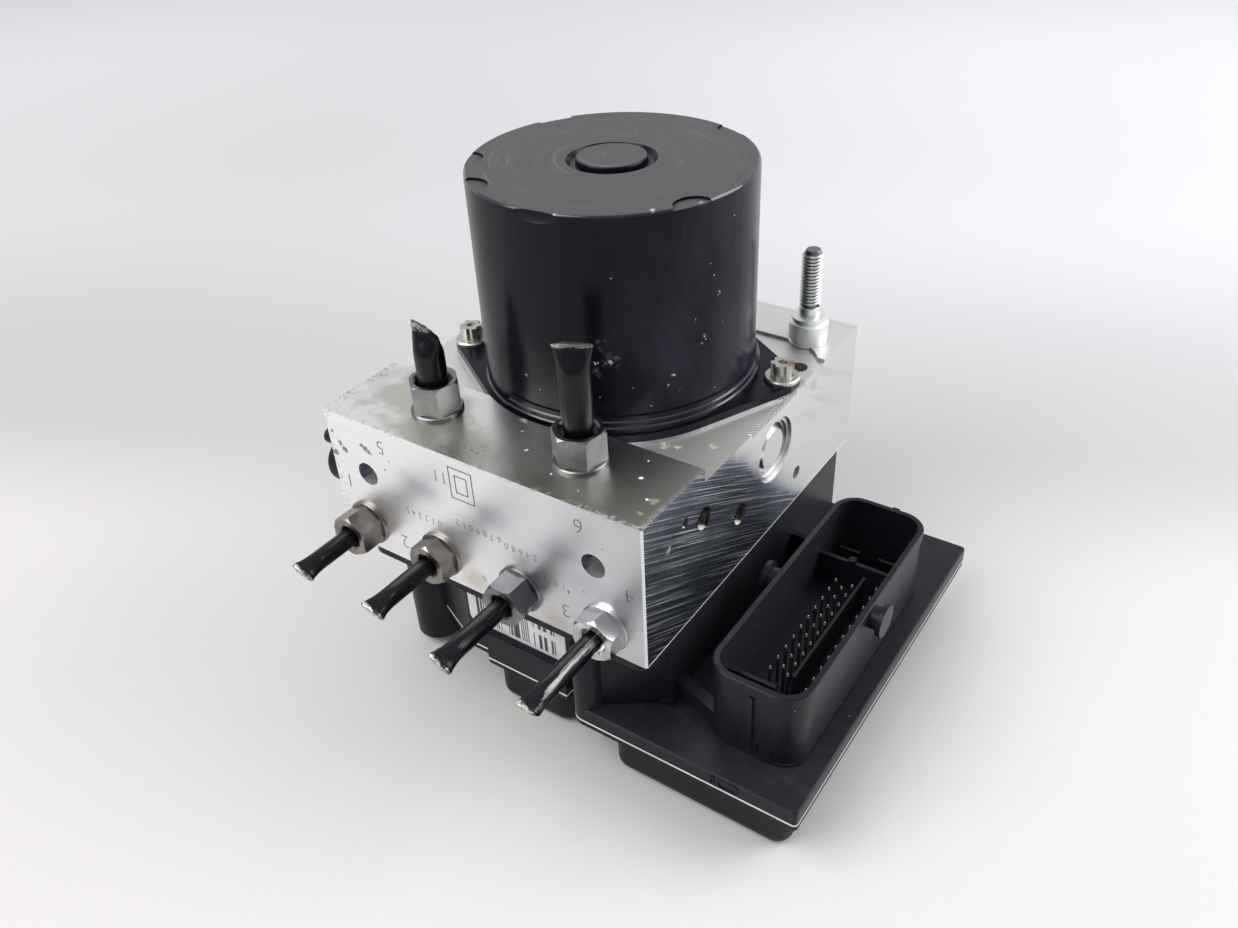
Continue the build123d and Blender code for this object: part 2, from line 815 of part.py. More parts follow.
def commutator():
    bottom = flange_top + commutator_lift
    low = flange_top + winding_lift
    body = drum(commutator_radius, bottom, low) - drum(shaft_radius, bottom - 1, low + 1)
    half = segment_gap / 2
    groove = slab(commutator_radius - segment_depth, commutator_radius + 1, -half, half, bottom - 1,
                  low - 3.0)
    for index in range(slot_count):
        body -= Rot(0, 0, 360 / slot_count * (index + 0.5)) * groove
    return body


def cam_ring():
    """Outer ring of the needle bearing on the eccentric; the pistons press on it."""
    half = cam_ring_height / 2
    body = drum(cam_ring_radius, pump_z - half, pump_z + half, 0, eccentricity)
    bore = eccentric_radius + running_clearance
    return body - drum(bore, pump_z - half - 1, pump_z + half + 1, 0, eccentricity)


def face_x(side):
    return block_right if side > 0 else -block_left


def pump_piston(side):
    """Piston of one pump element, at its outer dead centre."""
    end = side * (piston_tip + piston_length)
    body = rod_x(piston_radius, side * piston_tip, end, pump_y, pump_z)
    start = end - side * piston_groove_place
    stop = start + side * piston_groove
    neck = rod_x(piston_radius + 1, start, stop, pump_y, pump_z)
    neck -= rod_x(piston_radius - 0.5, start, stop, pump_y, pump_z)
    return body - neck


def pump_cylinders():
    """Sleeve of each pump element, from near the crank chamber to its plug."""
    sleeves = []
    for side in (1, -1):
        end = face_x(side) - side * (pump_plug_length + pump_plug_recess)
        sleeve = rod_x(pump_bore_radius, side * cylinder_inner_x, end, pump_y, pump_z)
        start = side * (cylinder_inner_x - 1)
        bore = rod_x(piston_radius + running_clearance, start, end - side * 1.5, pump_y, pump_z)
        sleeves.append(sleeve - bore)
    return all_of(sleeves)


def pump_plugs():
    """Press-in plugs that close the pump bores, sunk below the block's side, with a bevelled rim."""
    plugs = []
    for side in (1, -1):
        outer = face_x(side) - side * (pump_plug_recess - pump_rim_depth)
        length = pump_plug_length + pump_rim_depth
        plug = rod_x(pump_plug_radius, outer - side * length, outer, pump_y, pump_z)
        free_end = plug.faces().sort_by(Axis.X)[-1 if side > 0 else 0]
        plugs.append(chamfer(free_end.edges(), pump_plug_chamfer))
    return all_of(plugs)


def sealing_balls():
    balls = []
    for y, drop in ball_points:
        x = block_right - ball_sink - ball_radius
        balls.append(Pos(x, y, ledge_top - drop) * Sphere(ball_radius))
    y, drop = small_ball_point
    balls.append(Pos(block_right - 2 * small_ball_radius, y, ledge_top - drop) * Sphere(small_ball_radius))
    return all_of(balls)


def side_cap(index):
    """Black closing cap on the left side of the block."""
    y, drop, radius, rise = side_cap_points[index]
    z = ledge_top - drop
    body = rod_x(radius, -block_left - rise, -block_left, y, z)
    body = fillet(body.edges().sort_by(Axis.X)[0], min(radius, rise) * 0.3)
    return body + rod_x(radius - 1.0, -block_left, -block_left + side_cap_seat - 0.2, y, z)


def mounting_stud():
    """Screw-in stud with a stepped collar; its upper part carries the thread."""
    x, y = stud_point
    base = rear_top + pad_height
    top = ledge_top + stud_top
    collar_top = base + stud_collar_height
    outline = [
        (0, base - stud_seat_depth + 0.5),
        (stud_seat_radius, base - stud_seat_depth + 0.5),
        (stud_seat_radius, base),
        (stud_collar_radius, base),
        (stud_collar_radius, base + 1.6),
        (stud_collar_radius - stud_groove, base + 1.9),
        (stud_collar_radius - stud_groove, base + 2.5),
        (stud_collar_radius, base + 2.8),
        (stud_collar_radius, collar_top - stud_neck_height - 0.5),
        (stud_collar_radius - 0.5, collar_top - stud_neck_height),
        (stud_neck_radius, collar_top - stud_neck_height),
        (stud_neck_radius, collar_top - 0.3),
        (stud_neck_radius - 0.3, collar_top),
        (stud_shank_radius, collar_top),
        (stud_shank_radius, top - stud_thread_length),
        (stud_thread_radius, top - stud_thread_length + 0.4),
        (stud_thread_radius, top - 1.0),
        (stud_thread_radius - 0.9, top),
        (0, top),
    ]
    return Pos(x, y, 0) * turned(outline)


def valve_cartridges():
    """Valve bodies pressed into the block, each with the thin dome its coil slips over."""
    parts = []
    for x, y in valve_points():
        body = drum(valve_bore_radius, block_bottom, block_bottom + valve_bore_depth - 0.5, x, y)
        dome = drum(dome_radius, block_bottom - dome_length, block_bottom, x, y)
        dome = fillet(dome.edges().sort_by(Axis.Z)[0], 1.5)
        parts.append(body + dome)
    return all_of(parts)


def coil_top():
    return block_bottom - 0.2


def valve_coils():
    """Coils over the valve domes, each with two leads down to the board."""
    parts = []
    top = coil_top()
    for x, y in valve_points():
        coil = drum(coil_radius, top - coil_height, top, x, y)
        coil -= drum(dome_radius + bore_clearance, top - coil_height - 1, top + 1, x, y)
        waist = drum(coil_radius + 1, top - coil_height + 2.0, top - 2.0, x, y)
        waist -= drum(coil_radius - 1.0, top - coil_height, top, x, y)
        coil -= waist
        for side in (-1, 1):
            coil += drum(coil_lead_radius, board_top, top - coil_height, x + side * coil_lead_spread,
                         y + coil_lead_back)
        parts.append(coil)
    return all_of(parts)


def accumulator_piston(index):
    x, y = accumulator_points[index]
    top = block_bottom + accumulator_depth - 1.0
    low = top - accumulator_piston_height
    body = drum(accumulator_radius - running_clearance, low, top, x, y)
    hollow = drum(accumulator_radius - 2.0, low - 1, top - 2.5, x, y)
    groove = drum(accumulator_radius + 1, low + 5.0, low + 5.0 + accumulator_groove, x, y)
    groove -= drum(accumulator_radius - 1.2, low + 5.0, low + 5.0 + accumulator_groove, x, y)
    return body - hollow - groove


def accumulator_caps():
    """Closing discs of the accumulator bores, with the spring seat on their inner side."""
    caps = []
    for x, y in accumulator_points:
        cap = drum(accumulator_radius - bore_clearance, block_bottom - 1.0, block_bottom + 2.0, x, y)
        cap_top = block_bottom + accumulator_cap_height
        cap += drum(accumulator_radius - 3.0, block_bottom + 1.0, cap_top, x, y)
        caps.append(cap)
    return all_of(caps)


def pressure_sensor():
    x, y = sensor_point
    body = drum(sensor_radius, block_bottom - 9.0, block_bottom + sensor_seat_depth - 0.5, x, y)
    return body + drum(sensor_stem_radius, board_top, block_bottom - 8.0, x, y)


def wall_outline():
    """Plan of the control unit's walls below its top flange, anticlockwise from the front left."""
    return [
        (-front_wall_left, -front_wall), (front_wall_right, -front_wall),
        (wing_left + 0.2, column_y), (scoop_left_x, -scoop_left_y), (housing_right, -scoop_right_y),
        (housing_right, housing_back), (-housing_left, housing_back),
        (-housing_left, -left_slope_y), (-left_slope_x, -left_slope_front),
    ]


def cavity_outline():
    """Plan of the hollow that holds the coils."""
    w = housing_wall
    front = -front_wall + 2 * w
    return [
        (-front_wall_left + 1.0, front), (cavity_step_x, front), (housing_right - w, -scoop_right_y + 2 * w),
        (housing_right - w, housing_back - w), (-housing_left + w, housing_back - w),
        (-housing_left + w, -left_slope_y + 1.0), (-left_slope_x + 1.0, -left_slope_front + w + 0.6),
    ]


def wing_face():
    """Plan of the wing: an oblong whose front left corner is as round as the column above it."""
    outline = [
        (column_x, -wing_front), (wing_right, -wing_front), (wing_right, housing_back),
        (wing_left, housing_back), (wing_left, column_y),
    ]
    return make_face(Polyline(*outline, close=True)) + Pos(column_x, column_y) * Circle(column_radius)


def ecu_housing():
    """Moulded housing: walls and top flange under the block, the wing and the plug shell."""
    low = housing_bottom
    body = prism(wall_outline(), low, block_bottom, wall_corner)
    # Top flange that the block sits on
    flange = slab(-block_left + flange_left_gap, housing_right, -block_front + flange_inset, housing_back,
                  block_bottom - top_flange, block_bottom)
    body += fillet(flange.edges().filter_by(Axis.Z), flange_corner)
    body += wing()
    body += drum(column_radius, low, block_bottom - top_flange + 0.5, column_x, column_y)
    body += slab(-band_left, band_right, -front_wall - band_depth, -front_wall + 1.0, low, low + band_height)
    for x, y in post_points:
        body += drum(post_radius, low, block_bottom, x, y)
    body += front_post()
    hollow = prism(cavity_outline(), low - 1, block_bottom + 1, wall_corner)
    for x, y in post_points:
        hollow -= drum(post_radius, low - 2, block_bottom + 2, x, y)
    body -= hollow
    for x, y in post_points:
        body -= drum(unit_screw_radius + 0.25, 0, block_bottom + 1, x, y)
        seat = unit_screw_head + 0.3
        body -= drum(seat, 0, screw_seat_z(x, y), x, y)
    body += plug_shell()
    body += web_ribs()
    for x, y in board_boss_points:
        body += drum(board_boss_radius, board_top, low + 0.5, x, y)
    return body


def screw_seat_z(x, y):
    """Height of the seat of a control unit screw; the front one sits in its own long post."""
    if y < 0:
        return post_foot + unit_screw_head_height + 1.2
    return housing_bottom + unit_screw_head_height


def front_post():
    """Long screw post at the front left, reaching down beside the lid."""
    x, y = post_points[0]
    post = drum(post_radius, post_foot, block_bottom - 1.0, x, y)
    return fillet(post.edges().sort_by(Axis.Z)[0], 0.8)


def round_right_corners(plate):
    corners = plate.edges().filter_by(Axis.Z).filter_by(lambda e: e.center().X > wing_right - 0.1)
    return fillet(corners, wing_corner)


def wing():
    plate = Pos(0, 0, housing_bottom) * extrude(wing_face(), amount=wing_thickness, dir=(0, 0, 1))
    plate = round_right_corners(plate)
    top_edges = plate.faces().sort_by(Axis.Z)[-1].edges()
    return chamfer(top_edges, 0.4)


def plug_plan(inset):
    """Rounded rectangle of the plug shell, drawn inset from its outer face."""
    width = plug_right - plug_left - 2 * inset
    depth = plug_back + plug_front - 2 * inset
    center = ((plug_left + plug_right) / 2, (plug_back - plug_front) / 2)
    return Pos(center[0], center[1]) * RectangleRounded(width, depth, plug_corner - inset)


def plug_block(inset, z0, z1):
    return Pos(0, 0, z0) * extrude(plug_plan(inset), amount=z1 - z0, dir=(0, 0, 1))


def plug_shell():
    """Deep oblong shell around the pins, with its rim bead, inner walls and pivot pegs."""
    shell = plug_block(0, wing_top - 1.0, plug_rim_height)
    shell += plug_block(-plug_foot, wing_top - 1.0, wing_top + plug_foot_height)
    shell += plug_block(-rim_bead, plug_rim_height - rim_bead_height, plug_rim_height)
    rim_edges = shell.faces().sort_by(Axis.Z)[-1].edges()
    shell = chamfer(rim_edges, 0.3)
    shell -= plug_block(plug_wall, plug_floor_z, plug_rim_height + 1)
    shell += plug_inner_walls()
    middle = (plug_back - plug_front) / 2
    for side, wall_x in ((1, plug_right), (-1, plug_left)):
        shell += pivot_peg(side, wall_x, middle)
    # Rib on the front wall, nub on the back rim
    shell += slab(front_rib_x, front_rib_x + 1.0, -plug_front - front_rib_rise, -plug_front + 0.5,
                  wing_top + 5.0, plug_rim_height - front_rib_gap)
    nub_top = plug_rim_height - 0.6
    shell += slab(rear_nub_x, rear_nub_x + rear_nub_width, plug_back - 0.5, plug_back + 1.4,
                  nub_top - rear_nub_height, nub_top)
    return shell


def plug_inner_walls():
    """Raised floor that holds the signal pins, the divider on it and the two cross walls."""
    floor = plug_floor_z - 0.5
    left = plug_left + plug_wall - 0.5
    right = plug_right - plug_wall + 0.5
    parts = slab(left, right, front_cross_y, back_cross_y, floor, pin_floor_z)
    parts += slab(divider_x - divider_thickness / 2, divider_x + divider_thickness / 2,
                  front_cross_y + divider_front_gap, back_cross_y - divider_back_gap, floor, pin_tip_height)
    parts += slab(left, divider_x - 2.0, front_cross_y - cross_wall, front_cross_y, floor, pin_tip_height)
    parts += slab(left, right, back_cross_y, back_cross_y + cross_wall, floor, pin_tip_height)
    parts += drum(guide_post_radius, floor, pin_tip_height + guide_post_rise, guide_post_x,
                  back_cross_y + cross_wall / 2)
    return parts


def pivot_peg(side, wall_x, y):
    """Mushroom peg on which the plug's lever turns."""
    z = plug_rim_height - peg_drop
    reach = wall_x + side * (peg_reach + rim_bead)
    peg = rod_x(peg_neck_radius, wall_x - side * 0.5, reach, y, z)
    disc = rod_x(peg_disc_radius, reach, reach + side * peg_disc_thickness, y, z)
    return peg + disc


def web_ribs():
    """Slanted front rib, straight back rib and a small pad between the housing and the plug shell."""
    left = housing_right - web_overlap
    right = plug_left + web_overlap
    (left_front, left_back), (right_front, right_back) = front_web_points
    webs = prism([(left, left_front), (right, right_front), (right, right_back), (left, left_back)],
                 wing_top - 0.5, wing_top + front_web_height)
    webs += slab(left, right, back_web_y, back_web_y + back_web_thickness, wing_top - 0.5,
                 wing_top + back_web_height)
    (x0, y0), (x1, y1) = pad_points
    webs += slab(x0, x1, y0, y1, wing_top - 0.5, wing_top + wing_pad_height)
    return webs


def circuit_board():
    """Board cut to the inside of the lid."""
    face = make_face(Polyline(*bulge_outline(), close=True))
    face = offset(face, amount=-(lid_wall + board_margin), kind=Kind.INTERSECTION)
    return Pos(0, 0, board_bottom) * extrude(face, amount=board_thickness, dir=(0, 0, 1))


def board_chips():
    """Packages on the board beside the coils and under the wing."""
    chips = []
    for y, half, height in chip_rows:
        chips.append(slab(chip_x - half, chip_x + half, y - half, y + half, board_top, board_top + height))
    return all_of(chips)


def pin_points():
    points = []
    for (x, shift), count in zip(pin_columns, pin_counts):
        for index in range(count):
            y = pin_first_y - (index + shift) * pin_pitch
            points.append((x, y))
    return points


def connector_pins():
    half = pin_size / 2
    pins = []
    for x, y in pin_points():
        pin = slab(x - half, x + half, y - half, y + half, board_top, pin_tip_height - pin_point)
        tip = Pos(x, y, pin_tip_height - pin_point) * Solid.make_cone(half, half * 0.4, pin_point)
        pins.append(pin + tip)
    return all_of(pins)


def power_blades():
    """Wide blades in the wells at both ends of the plug."""
    blades = []
    y_front = (front_cross_y - cross_wall - plug_front + plug_wall) / 2
    y_back = (back_cross_y + cross_wall + plug_back - plug_wall) / 2
    for y in (y_front, y_back):
        for x in blade_columns:
            blade = slab(x - blade_width / 2, x + blade_width / 2, y - blade_thickness / 2,
                         y + blade_thickness / 2, board_top, pin_tip_height - blade_drop)
            blades.append(blade)
    return all_of(blades)


def lid_seal():
    """Thin pale seal line between housing and lid."""
    outer = seam_shape(0.0, lid_top, housing_bottom)
    inner = seam_shape(seal_width, lid_top - 1, housing_bottom + 1)
    x, y = post_points[0]
    return outer - inner - drum(post_radius + 0.3, 0, block_bottom, x, y)


def seam_shape(inset, z0, z1):
    """Plan of the joint between housing and lid as one prism."""
    face = make_face(Polyline(*wall_outline(), close=True)) + wing_face()
    band_front = -front_wall - band_depth
    face += make_face(Polyline((-band_left, band_front), (band_right, band_front),
                               (band_right, -front_wall + 1.0), (-band_left, -front_wall + 1.0), close=True))
    if inset > 0:
        face = offset(face, amount=-inset, kind=Kind.INTERSECTION)
        return Pos(0, 0, z0) * extrude(face, amount=z1 - z0, dir=(0, 0, 1))
    return round_right_corners(Pos(0, 0, z0) * extrude(face, amount=z1 - z0, dir=(0, 0, 1)))


def bulge_outline():
    """Plan of the lid's bulge: the large field with its two noses towards the front."""
    return [
        (-nose_left, -nose_front), (nose_right, -nose_front), (nose_right, -notch_front),
        (bulge_step_x, -notch_front), (bulge_step_x, -bulge_front), (bulge_right, -bulge_front),
        (bulge_right, bulge_back), (-bulge_left, bulge_back), (-bulge_left, -bulge_left_front),
        (-nose_left, -notch_front),
    ]


def lid():
    """Lid with its flange and the hollow bulges the unit stands on."""
    body = prism(bulge_outline(), 0, lid_depth + 0.5, bulge_corner)
    body = fillet(body.faces().sort_by(Axis.Z)[0].edges(), bulge_floor_radius)
    body += seam_shape(0.0, lid_depth, lid_top)
    outline = make_face(Polyline(*bulge_outline(), close=True))
    inner = offset(outline, amount=-lid_wall, kind=Kind.INTERSECTION)
    hollow = Pos(0, 0, lid_wall) * extrude(inner, amount=lid_top, dir=(0, 0, 1))
    body -= fillet(hollow.edges().filter_by(Axis.Z), bulge_corner - lid_wall)
    x, y = post_points[0]
    return body - drum(post_radius + 0.3, -1, block_bottom, x, y)


def unit_screws():
    """Screws that hold the control unit to the block."""
    screws = []
    for x, y in post_points:
        seat = screw_seat_z(x, y)
        shank = drum(unit_screw_radius, seat, block_bottom + unit_screw_depth - 0.3, x, y)
        head = drum(unit_screw_head, seat - unit_screw_head_height + 0.2, seat, x, y)
        socket = Pos(x, y, seat - unit_screw_head_height + 0.2) * extrude(
            RegularPolygon(2.0, 6), amount=1.6, dir=(0, 0, 1))
        screws.append(shank + head - socket)
    return all_of(screws)


def label():
    sheet = slab(-label_left, label_right, -front_wall - label_thickness, -front_wall,
                 housing_bottom + band_height, housing_bottom + band_height + label_height)
    return fillet(sheet.edges().filter_by(Axis.Y), label_corner)


def save(node, shape):
    export_step(shape, "parts/" + node + ".step")


os.makedirs("parts", exist_ok=True)

save("valve_block", valve_block())
save("wheel_line_nuts", wheel_nuts())
save("master_line_nuts", master_nuts())
for number in range(4):
    save("wheel_pipe_" + str(number + 1), wheel_pipe(number))
for number in range(2):
    save("master_pipe_" + str(number + 1), master_pipe(number))
save("motor_can", motor_can())
save("motor_flange", motor_flange())
save("flange_screws", flange_screws())
save("motor_magnets", motor_magnets())
save("top_bearing", bearing(top_bearing_z()))
save("base_bearing", bearing(rear_top))
save("brush_holder", brush_holder())
save("brushes", brushes())
save("motor_leads", motor_leads())
save("lead_sleeve", lead_sleeve())
save("rotor_shaft", rotor_shaft())
save("rotor_core", rotor_core())
save("rotor_windings", rotor_windings())
save("commutator", commutator())
save("cam_ring", cam_ring())
save("pump_piston_right", pump_piston(1))
save("pump_piston_left", pump_piston(-1))
save("pump_cylinders", pump_cylinders())
save("pump_plugs", pump_plugs())
save("sealing_balls", sealing_balls())
save("side_cap_large", side_cap(0))
save("side_cap_small", side_cap(1))
save("mounting_stud", mounting_stud())
save("valve_cartridges", valve_cartridges())
save("valve_coils", valve_coils())
save("accumulator_piston_left", accumulator_piston(0))
save("accumulator_piston_right", accumulator_piston(1))
save("accumulator_caps", accumulator_caps())
save("pressure_sensor", pressure_sensor())
save("ecu_housing", ecu_housing())
save("connector_pins", connector_pins())
save("power_blades", power_blades())
save("circuit_board", circuit_board())
save("board_chips", board_chips())
save("lid_seal", lid_seal())
save("lid", lid())
save("unit_screws", unit_screws())
save("label", label())
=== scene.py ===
import math
import bpy
from mathutils import Matrix, Vector


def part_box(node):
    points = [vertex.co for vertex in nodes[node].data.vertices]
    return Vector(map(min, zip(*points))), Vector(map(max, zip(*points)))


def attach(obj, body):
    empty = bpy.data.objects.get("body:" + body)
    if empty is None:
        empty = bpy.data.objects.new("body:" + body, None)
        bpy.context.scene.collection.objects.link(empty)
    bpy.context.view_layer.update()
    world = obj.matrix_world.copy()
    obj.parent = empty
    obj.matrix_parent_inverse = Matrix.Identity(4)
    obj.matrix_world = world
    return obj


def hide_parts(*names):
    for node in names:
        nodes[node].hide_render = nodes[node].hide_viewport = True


# Brake control unit with its pump motor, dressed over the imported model. Metres, +Z up.
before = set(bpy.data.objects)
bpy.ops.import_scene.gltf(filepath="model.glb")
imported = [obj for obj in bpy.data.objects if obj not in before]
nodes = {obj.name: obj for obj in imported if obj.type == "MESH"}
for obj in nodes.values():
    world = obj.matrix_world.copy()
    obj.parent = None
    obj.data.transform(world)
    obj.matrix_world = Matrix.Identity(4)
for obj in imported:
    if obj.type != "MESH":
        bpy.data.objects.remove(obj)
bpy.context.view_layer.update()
bpy.ops.object.select_all(action="DESELECT")
mm = 0.001


# Camera: fitted to the photograph, looking down at the corner between the port face and the plug
# side. The photograph's width and the focal length are in its own pixels.
azimuth = math.radians(35.72)
elevation = math.radians(35.27)
roll = math.radians(-2.91)
camera_place = Vector((0.15011, -0.21225, 0.23121))
photo_width = 1238.0
focal_length = 1074.97
film_width = 36.0
backward = Vector((math.sin(azimuth) * math.cos(elevation),
                   -math.cos(azimuth) * math.cos(elevation), math.sin(elevation)))
level = (-backward).cross(Vector((0.0, 0.0, 1.0))).normalized()
upward = level.cross(-backward)
side = level * math.cos(roll) + upward * math.sin(roll)
crown = upward * math.cos(roll) - level * math.sin(roll)
stand = Matrix((side, crown, backward)).transposed().to_4x4()
stand.translation = camera_place
lens = bpy.data.cameras.new("camera")
lens.sensor_width = film_width
lens.lens = focal_length / photo_width * film_width
lens.clip_start = 0.01
camera = bpy.data.objects.new("camera", lens)
camera.matrix_world = stand
bpy.context.scene.collection.objects.link(camera)
bpy.context.scene.camera = camera


# Floor: the pale sheet that the unit was photographed on, laid flat and running far out.
# It is a little cooler behind the unit. Its tone has painted shade in a grey band just behind the unit,
# where the real sheet rises, and painted light towards the right panel and far to the left.
class Wire:
    """One output socket of a shader; sums, products and comparisons of wires add their Math nodes."""

    def __init__(self, finish, socket):
        self.finish = finish
        self.socket = socket

    def math(self, operation, *values):
        return self.finish.node("Math", {"operation": operation}, dict(enumerate(values)))

    def __add__(self, other):
        return self.math("ADD", self, other)

    def __sub__(self, other):
        return self.math("SUBTRACT", self, other)

    def __rsub__(self, other):
        return self.math("SUBTRACT", other, self)

    def __mul__(self, other):
        return self.math("MULTIPLY", self, other)

    def __pow__(self, other):
        return self.math("POWER", self, other)

    def __abs__(self):
        return self.math("ABSOLUTE", self)

    def __lt__(self, other):
        return self.math("LESS_THAN", self, other)

    def __gt__(self, other):
        return self.math("GREATER_THAN", self, other)

    __radd__ = __add__
    __rmul__ = __mul__


class Finish:
    """A surface finish: one Principled material whose nodes come from node() and its short forms."""

    def __init__(self, name, **constants):
        self.material = bpy.data.materials.new(name)
        self.material.use_nodes = True
        self.tree = self.material.node_tree
        self.shader = self.tree.nodes["Principled BSDF"]
        for socket, value in constants.items():
            self.feed(self.shader.inputs[socket.replace("_", " ")], value)
        self.place = self.node("TexCoord", output="Object")

    def feed(self, socket, value):
        if isinstance(value, Wire):
            self.tree.links.new(value.socket, socket)
        else:
            socket.default_value = value

    def node(self, kind, settings=None, values=None, output=0):
        node = self.tree.nodes.new("ShaderNode" + kind)
        for name, value in (settings or {}).items():
            if name == "stops":
                for stop, (position, tone) in zip(node.color_ramp.elements, value):
                    stop.position = position
                    stop.color = (*tone, 1.0)
            else:
                setattr(node, name, value)
        for name, value in (values or {}).items():
            self.feed(node.inputs[name], value)
        return Wire(self, node.outputs[output])

    def parts(self, vector):
        return [self.node("SeparateXYZ", None, {0: vector}, axis) for axis in "XYZ"]

    def facing(self):
        return self.parts(self.node("TexCoord", output="Normal"))

    def stretch(self, vector, *scales):
        return self.node("VectorMath", {"operation": "MULTIPLY"}, {0: vector, 1: scales})

    def noise(self, vector, scale=1.0, detail=3.0, grain=0.55):
        return self.node("TexNoise", None,
                         {"Vector": vector, "Scale": scale, "Detail": detail, "Roughness": grain})

    def drawn(self, x_scale, y_scale, z_scale, detail=3.0, grain=0.55):
        """Noise drawn out into streaks along the axes that have the lesser scales."""
        return self.noise(self.stretch(self.place, x_scale, y_scale, z_scale), 1.0, detail, grain)

    def at(self, *parts):
        return self.node("CombineXYZ", None, dict(enumerate(parts)))

    def step(self, value, low, high):
        return self.node("MapRange", {"interpolation_type": "SMOOTHSTEP"},
                         {"Value": value, "From Min": low, "From Max": high})

    def tint(self, mask, ground, over):
        """Colour that goes from ground to over as the mask goes from 0 to 1."""
        ground = ground if isinstance(ground, Wire) else (*ground, 1.0)
        over = over if isinstance(over, Wire) else (*over, 1.0)
        return self.node("Mix", {"data_type": "RGBA"}, {0: mask, 6: ground, 7: over}, 2)

    def either(self, mask, *others):
        for other in others:
            mask = mask.math("MAXIMUM", mask, other)
        return mask

    def warp(self, vector, scale, amount):
        """The place shifted by a few tenths to some millimetres, so that a patch gets a ragged edge."""
        push = self.node("TexNoise", None, {"Vector": vector, "Scale": scale, "Detail": 3.0}, "Color")
        push = self.node("VectorMath", {"operation": "SUBTRACT"}, {0: push, 1: (0.5, 0.5, 0.5)})
        return self.node("VectorMath", {"operation": "ADD"},
                         {0: vector, 1: self.stretch(push, amount, amount, amount)})

    def patch(self, vector, spots, blur=0.5):
        """Mask that is 1 inside each of the round spots, given as (x, y, z, radius) in millimetres."""
        masks = []
        for x, y, z, radius in spots:
            reach = self.node("VectorMath", {"operation": "DISTANCE"},
                              {0: vector, 1: (x * mm, y * mm, z * mm)}, "Value")
            masks.append(self.step(reach, radius * mm, radius * blur * mm))
        return self.either(*masks)

    def bump(self, height, depth, strength=1.0):
        return self.node("Bump", None, {"Height": height, "Distance": depth, "Strength": strength})

    def paint(self, **wires):
        for socket, value in wires.items():
            self.feed(self.shader.inputs[socket.replace("_", " ")], value)

    def on(self, *names):
        """Puts this finish on CAD nodes, in the place of the record's plain material."""
        for name in names:
            for slot in nodes[name].material_slots:
                slot.material = self.material


bpy.ops.mesh.primitive_plane_add(size=12.0, location=(0.0, 0.0, 0.0))
floor = bpy.context.object
floor.name = "floor"
sheet = Finish("pale_sheet", Roughness=0.85)
x, y, z = sheet.parts(sheet.place)
# Painted light and shade: paler towards the right panel and the far left, a grey band just behind the unit.
back = x * -0.45 + y * 0.89
lit_side = sheet.step(x * 0.8 + y * 0.6, -0.25, 0.35)
near_tone = sheet.tint(lit_side, (0.65, 0.625, 0.60), (0.69, 0.68, 0.665))
far_tone = sheet.tint(lit_side, (0.62, 0.60, 0.60), (0.72, 0.72, 0.74))
tone = sheet.tint(sheet.step(back, 0.02, 0.26), near_tone, far_tone)
tone = sheet.tint(sheet.noise(sheet.place, 9.0, 2.0) * 0.12, tone, (0.60, 0.59, 0.62))
shade = 1 - sheet.step(back, 0.0, 0.09) * 0.24 + sheet.step(back, 0.10, 0.32) * 0.20
shade = shade + sheet.step(back, 0.32, 0.72) * 0.16 + sheet.step(x * -1.0, 0.30, 0.90) * 0.20
weave = sheet.drawn(900.0, 260.0, 1.0, 2.0) + sheet.drawn(260.0, 900.0, 1.0, 2.0)
shade = shade * (0.97 + weave * 0.025)
sheet.paint(Base_Color=sheet.node("VectorMath", {"operation": "SCALE"}, {0: tone, "Scale": shade}))
floor.data.materials.append(sheet.material)


# Light: a wide soft panel at the front left, a weaker one at the back right, and a pale room that is
# darker on the side of the camera, so that bright metal has something dark to reflect.
room = bpy.data.worlds.new("room")
room.use_nodes = True
room_light = room.node_tree.nodes["Background"]
room_light.inputs["Color"].default_value = (0.88, 0.90, 0.95, 1.0)
way = room.node_tree.nodes.new("ShaderNodeTexCoord")
toward_back = room.node_tree.nodes.new("ShaderNodeVectorMath")
toward_back.operation = "DOT_PRODUCT"
toward_back.inputs[1].default_value = (-0.45, 0.62, 0.64)
brightness = room.node_tree.nodes.new("ShaderNodeMapRange")
for name, value in (("From Min", -0.55), ("From Max", 0.60), ("To Min", 0.30), ("To Max", 0.84)):
    brightness.inputs[name].default_value = value
room.node_tree.links.new(way.outputs["Generated"], toward_back.inputs[0])
room.node_tree.links.new(toward_back.outputs["Value"], brightness.inputs["Value"])
room.node_tree.links.new(brightness.outputs["Result"], room_light.inputs["Strength"])
bpy.context.scene.world = room
for name, spot, width, height, power in (("key_panel", (-0.42, -0.60, 0.85), 0.8, 0.8, 9.0),
                                         ("right_panel", (0.75, 0.55, 0.60), 0.7, 0.8, 8.5)):
    bpy.ops.object.light_add(type="AREA", location=spot)
    panel = bpy.context.object
    panel.name = name
    panel.data.shape = "RECTANGLE"
    panel.data.size = width
    panel.data.size_y = height
    panel.data.energy = power
    aim = Vector((0.0, 0.0, 0.06)) - panel.location
    panel.rotation_euler = aim.to_track_quat("-Z", "Y").to_euler()
bpy.context.scene.view_settings.view_transform = "Standard"


# Valve block: aluminium, milled all over. The cutter left fine lines along the front and the ledge
# and slanted arcs on the plug side, and years in a car left grime, rust and scratches. The stains are
# where the photograph shows them, as places and radii in millimetres.
block_low, block_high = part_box("valve_block")
ledge_rise = 3.8 * mm
rear_z = block_high.z - ledge_rise
ledge = block_high.z / mm
rear = rear_z / mm
front = block_low.y / mm
right = block_high.x / mm
tooth_pitch = 0.85 * mm
edge_start = -11.5 * mm
edge_end = 13.7 * mm

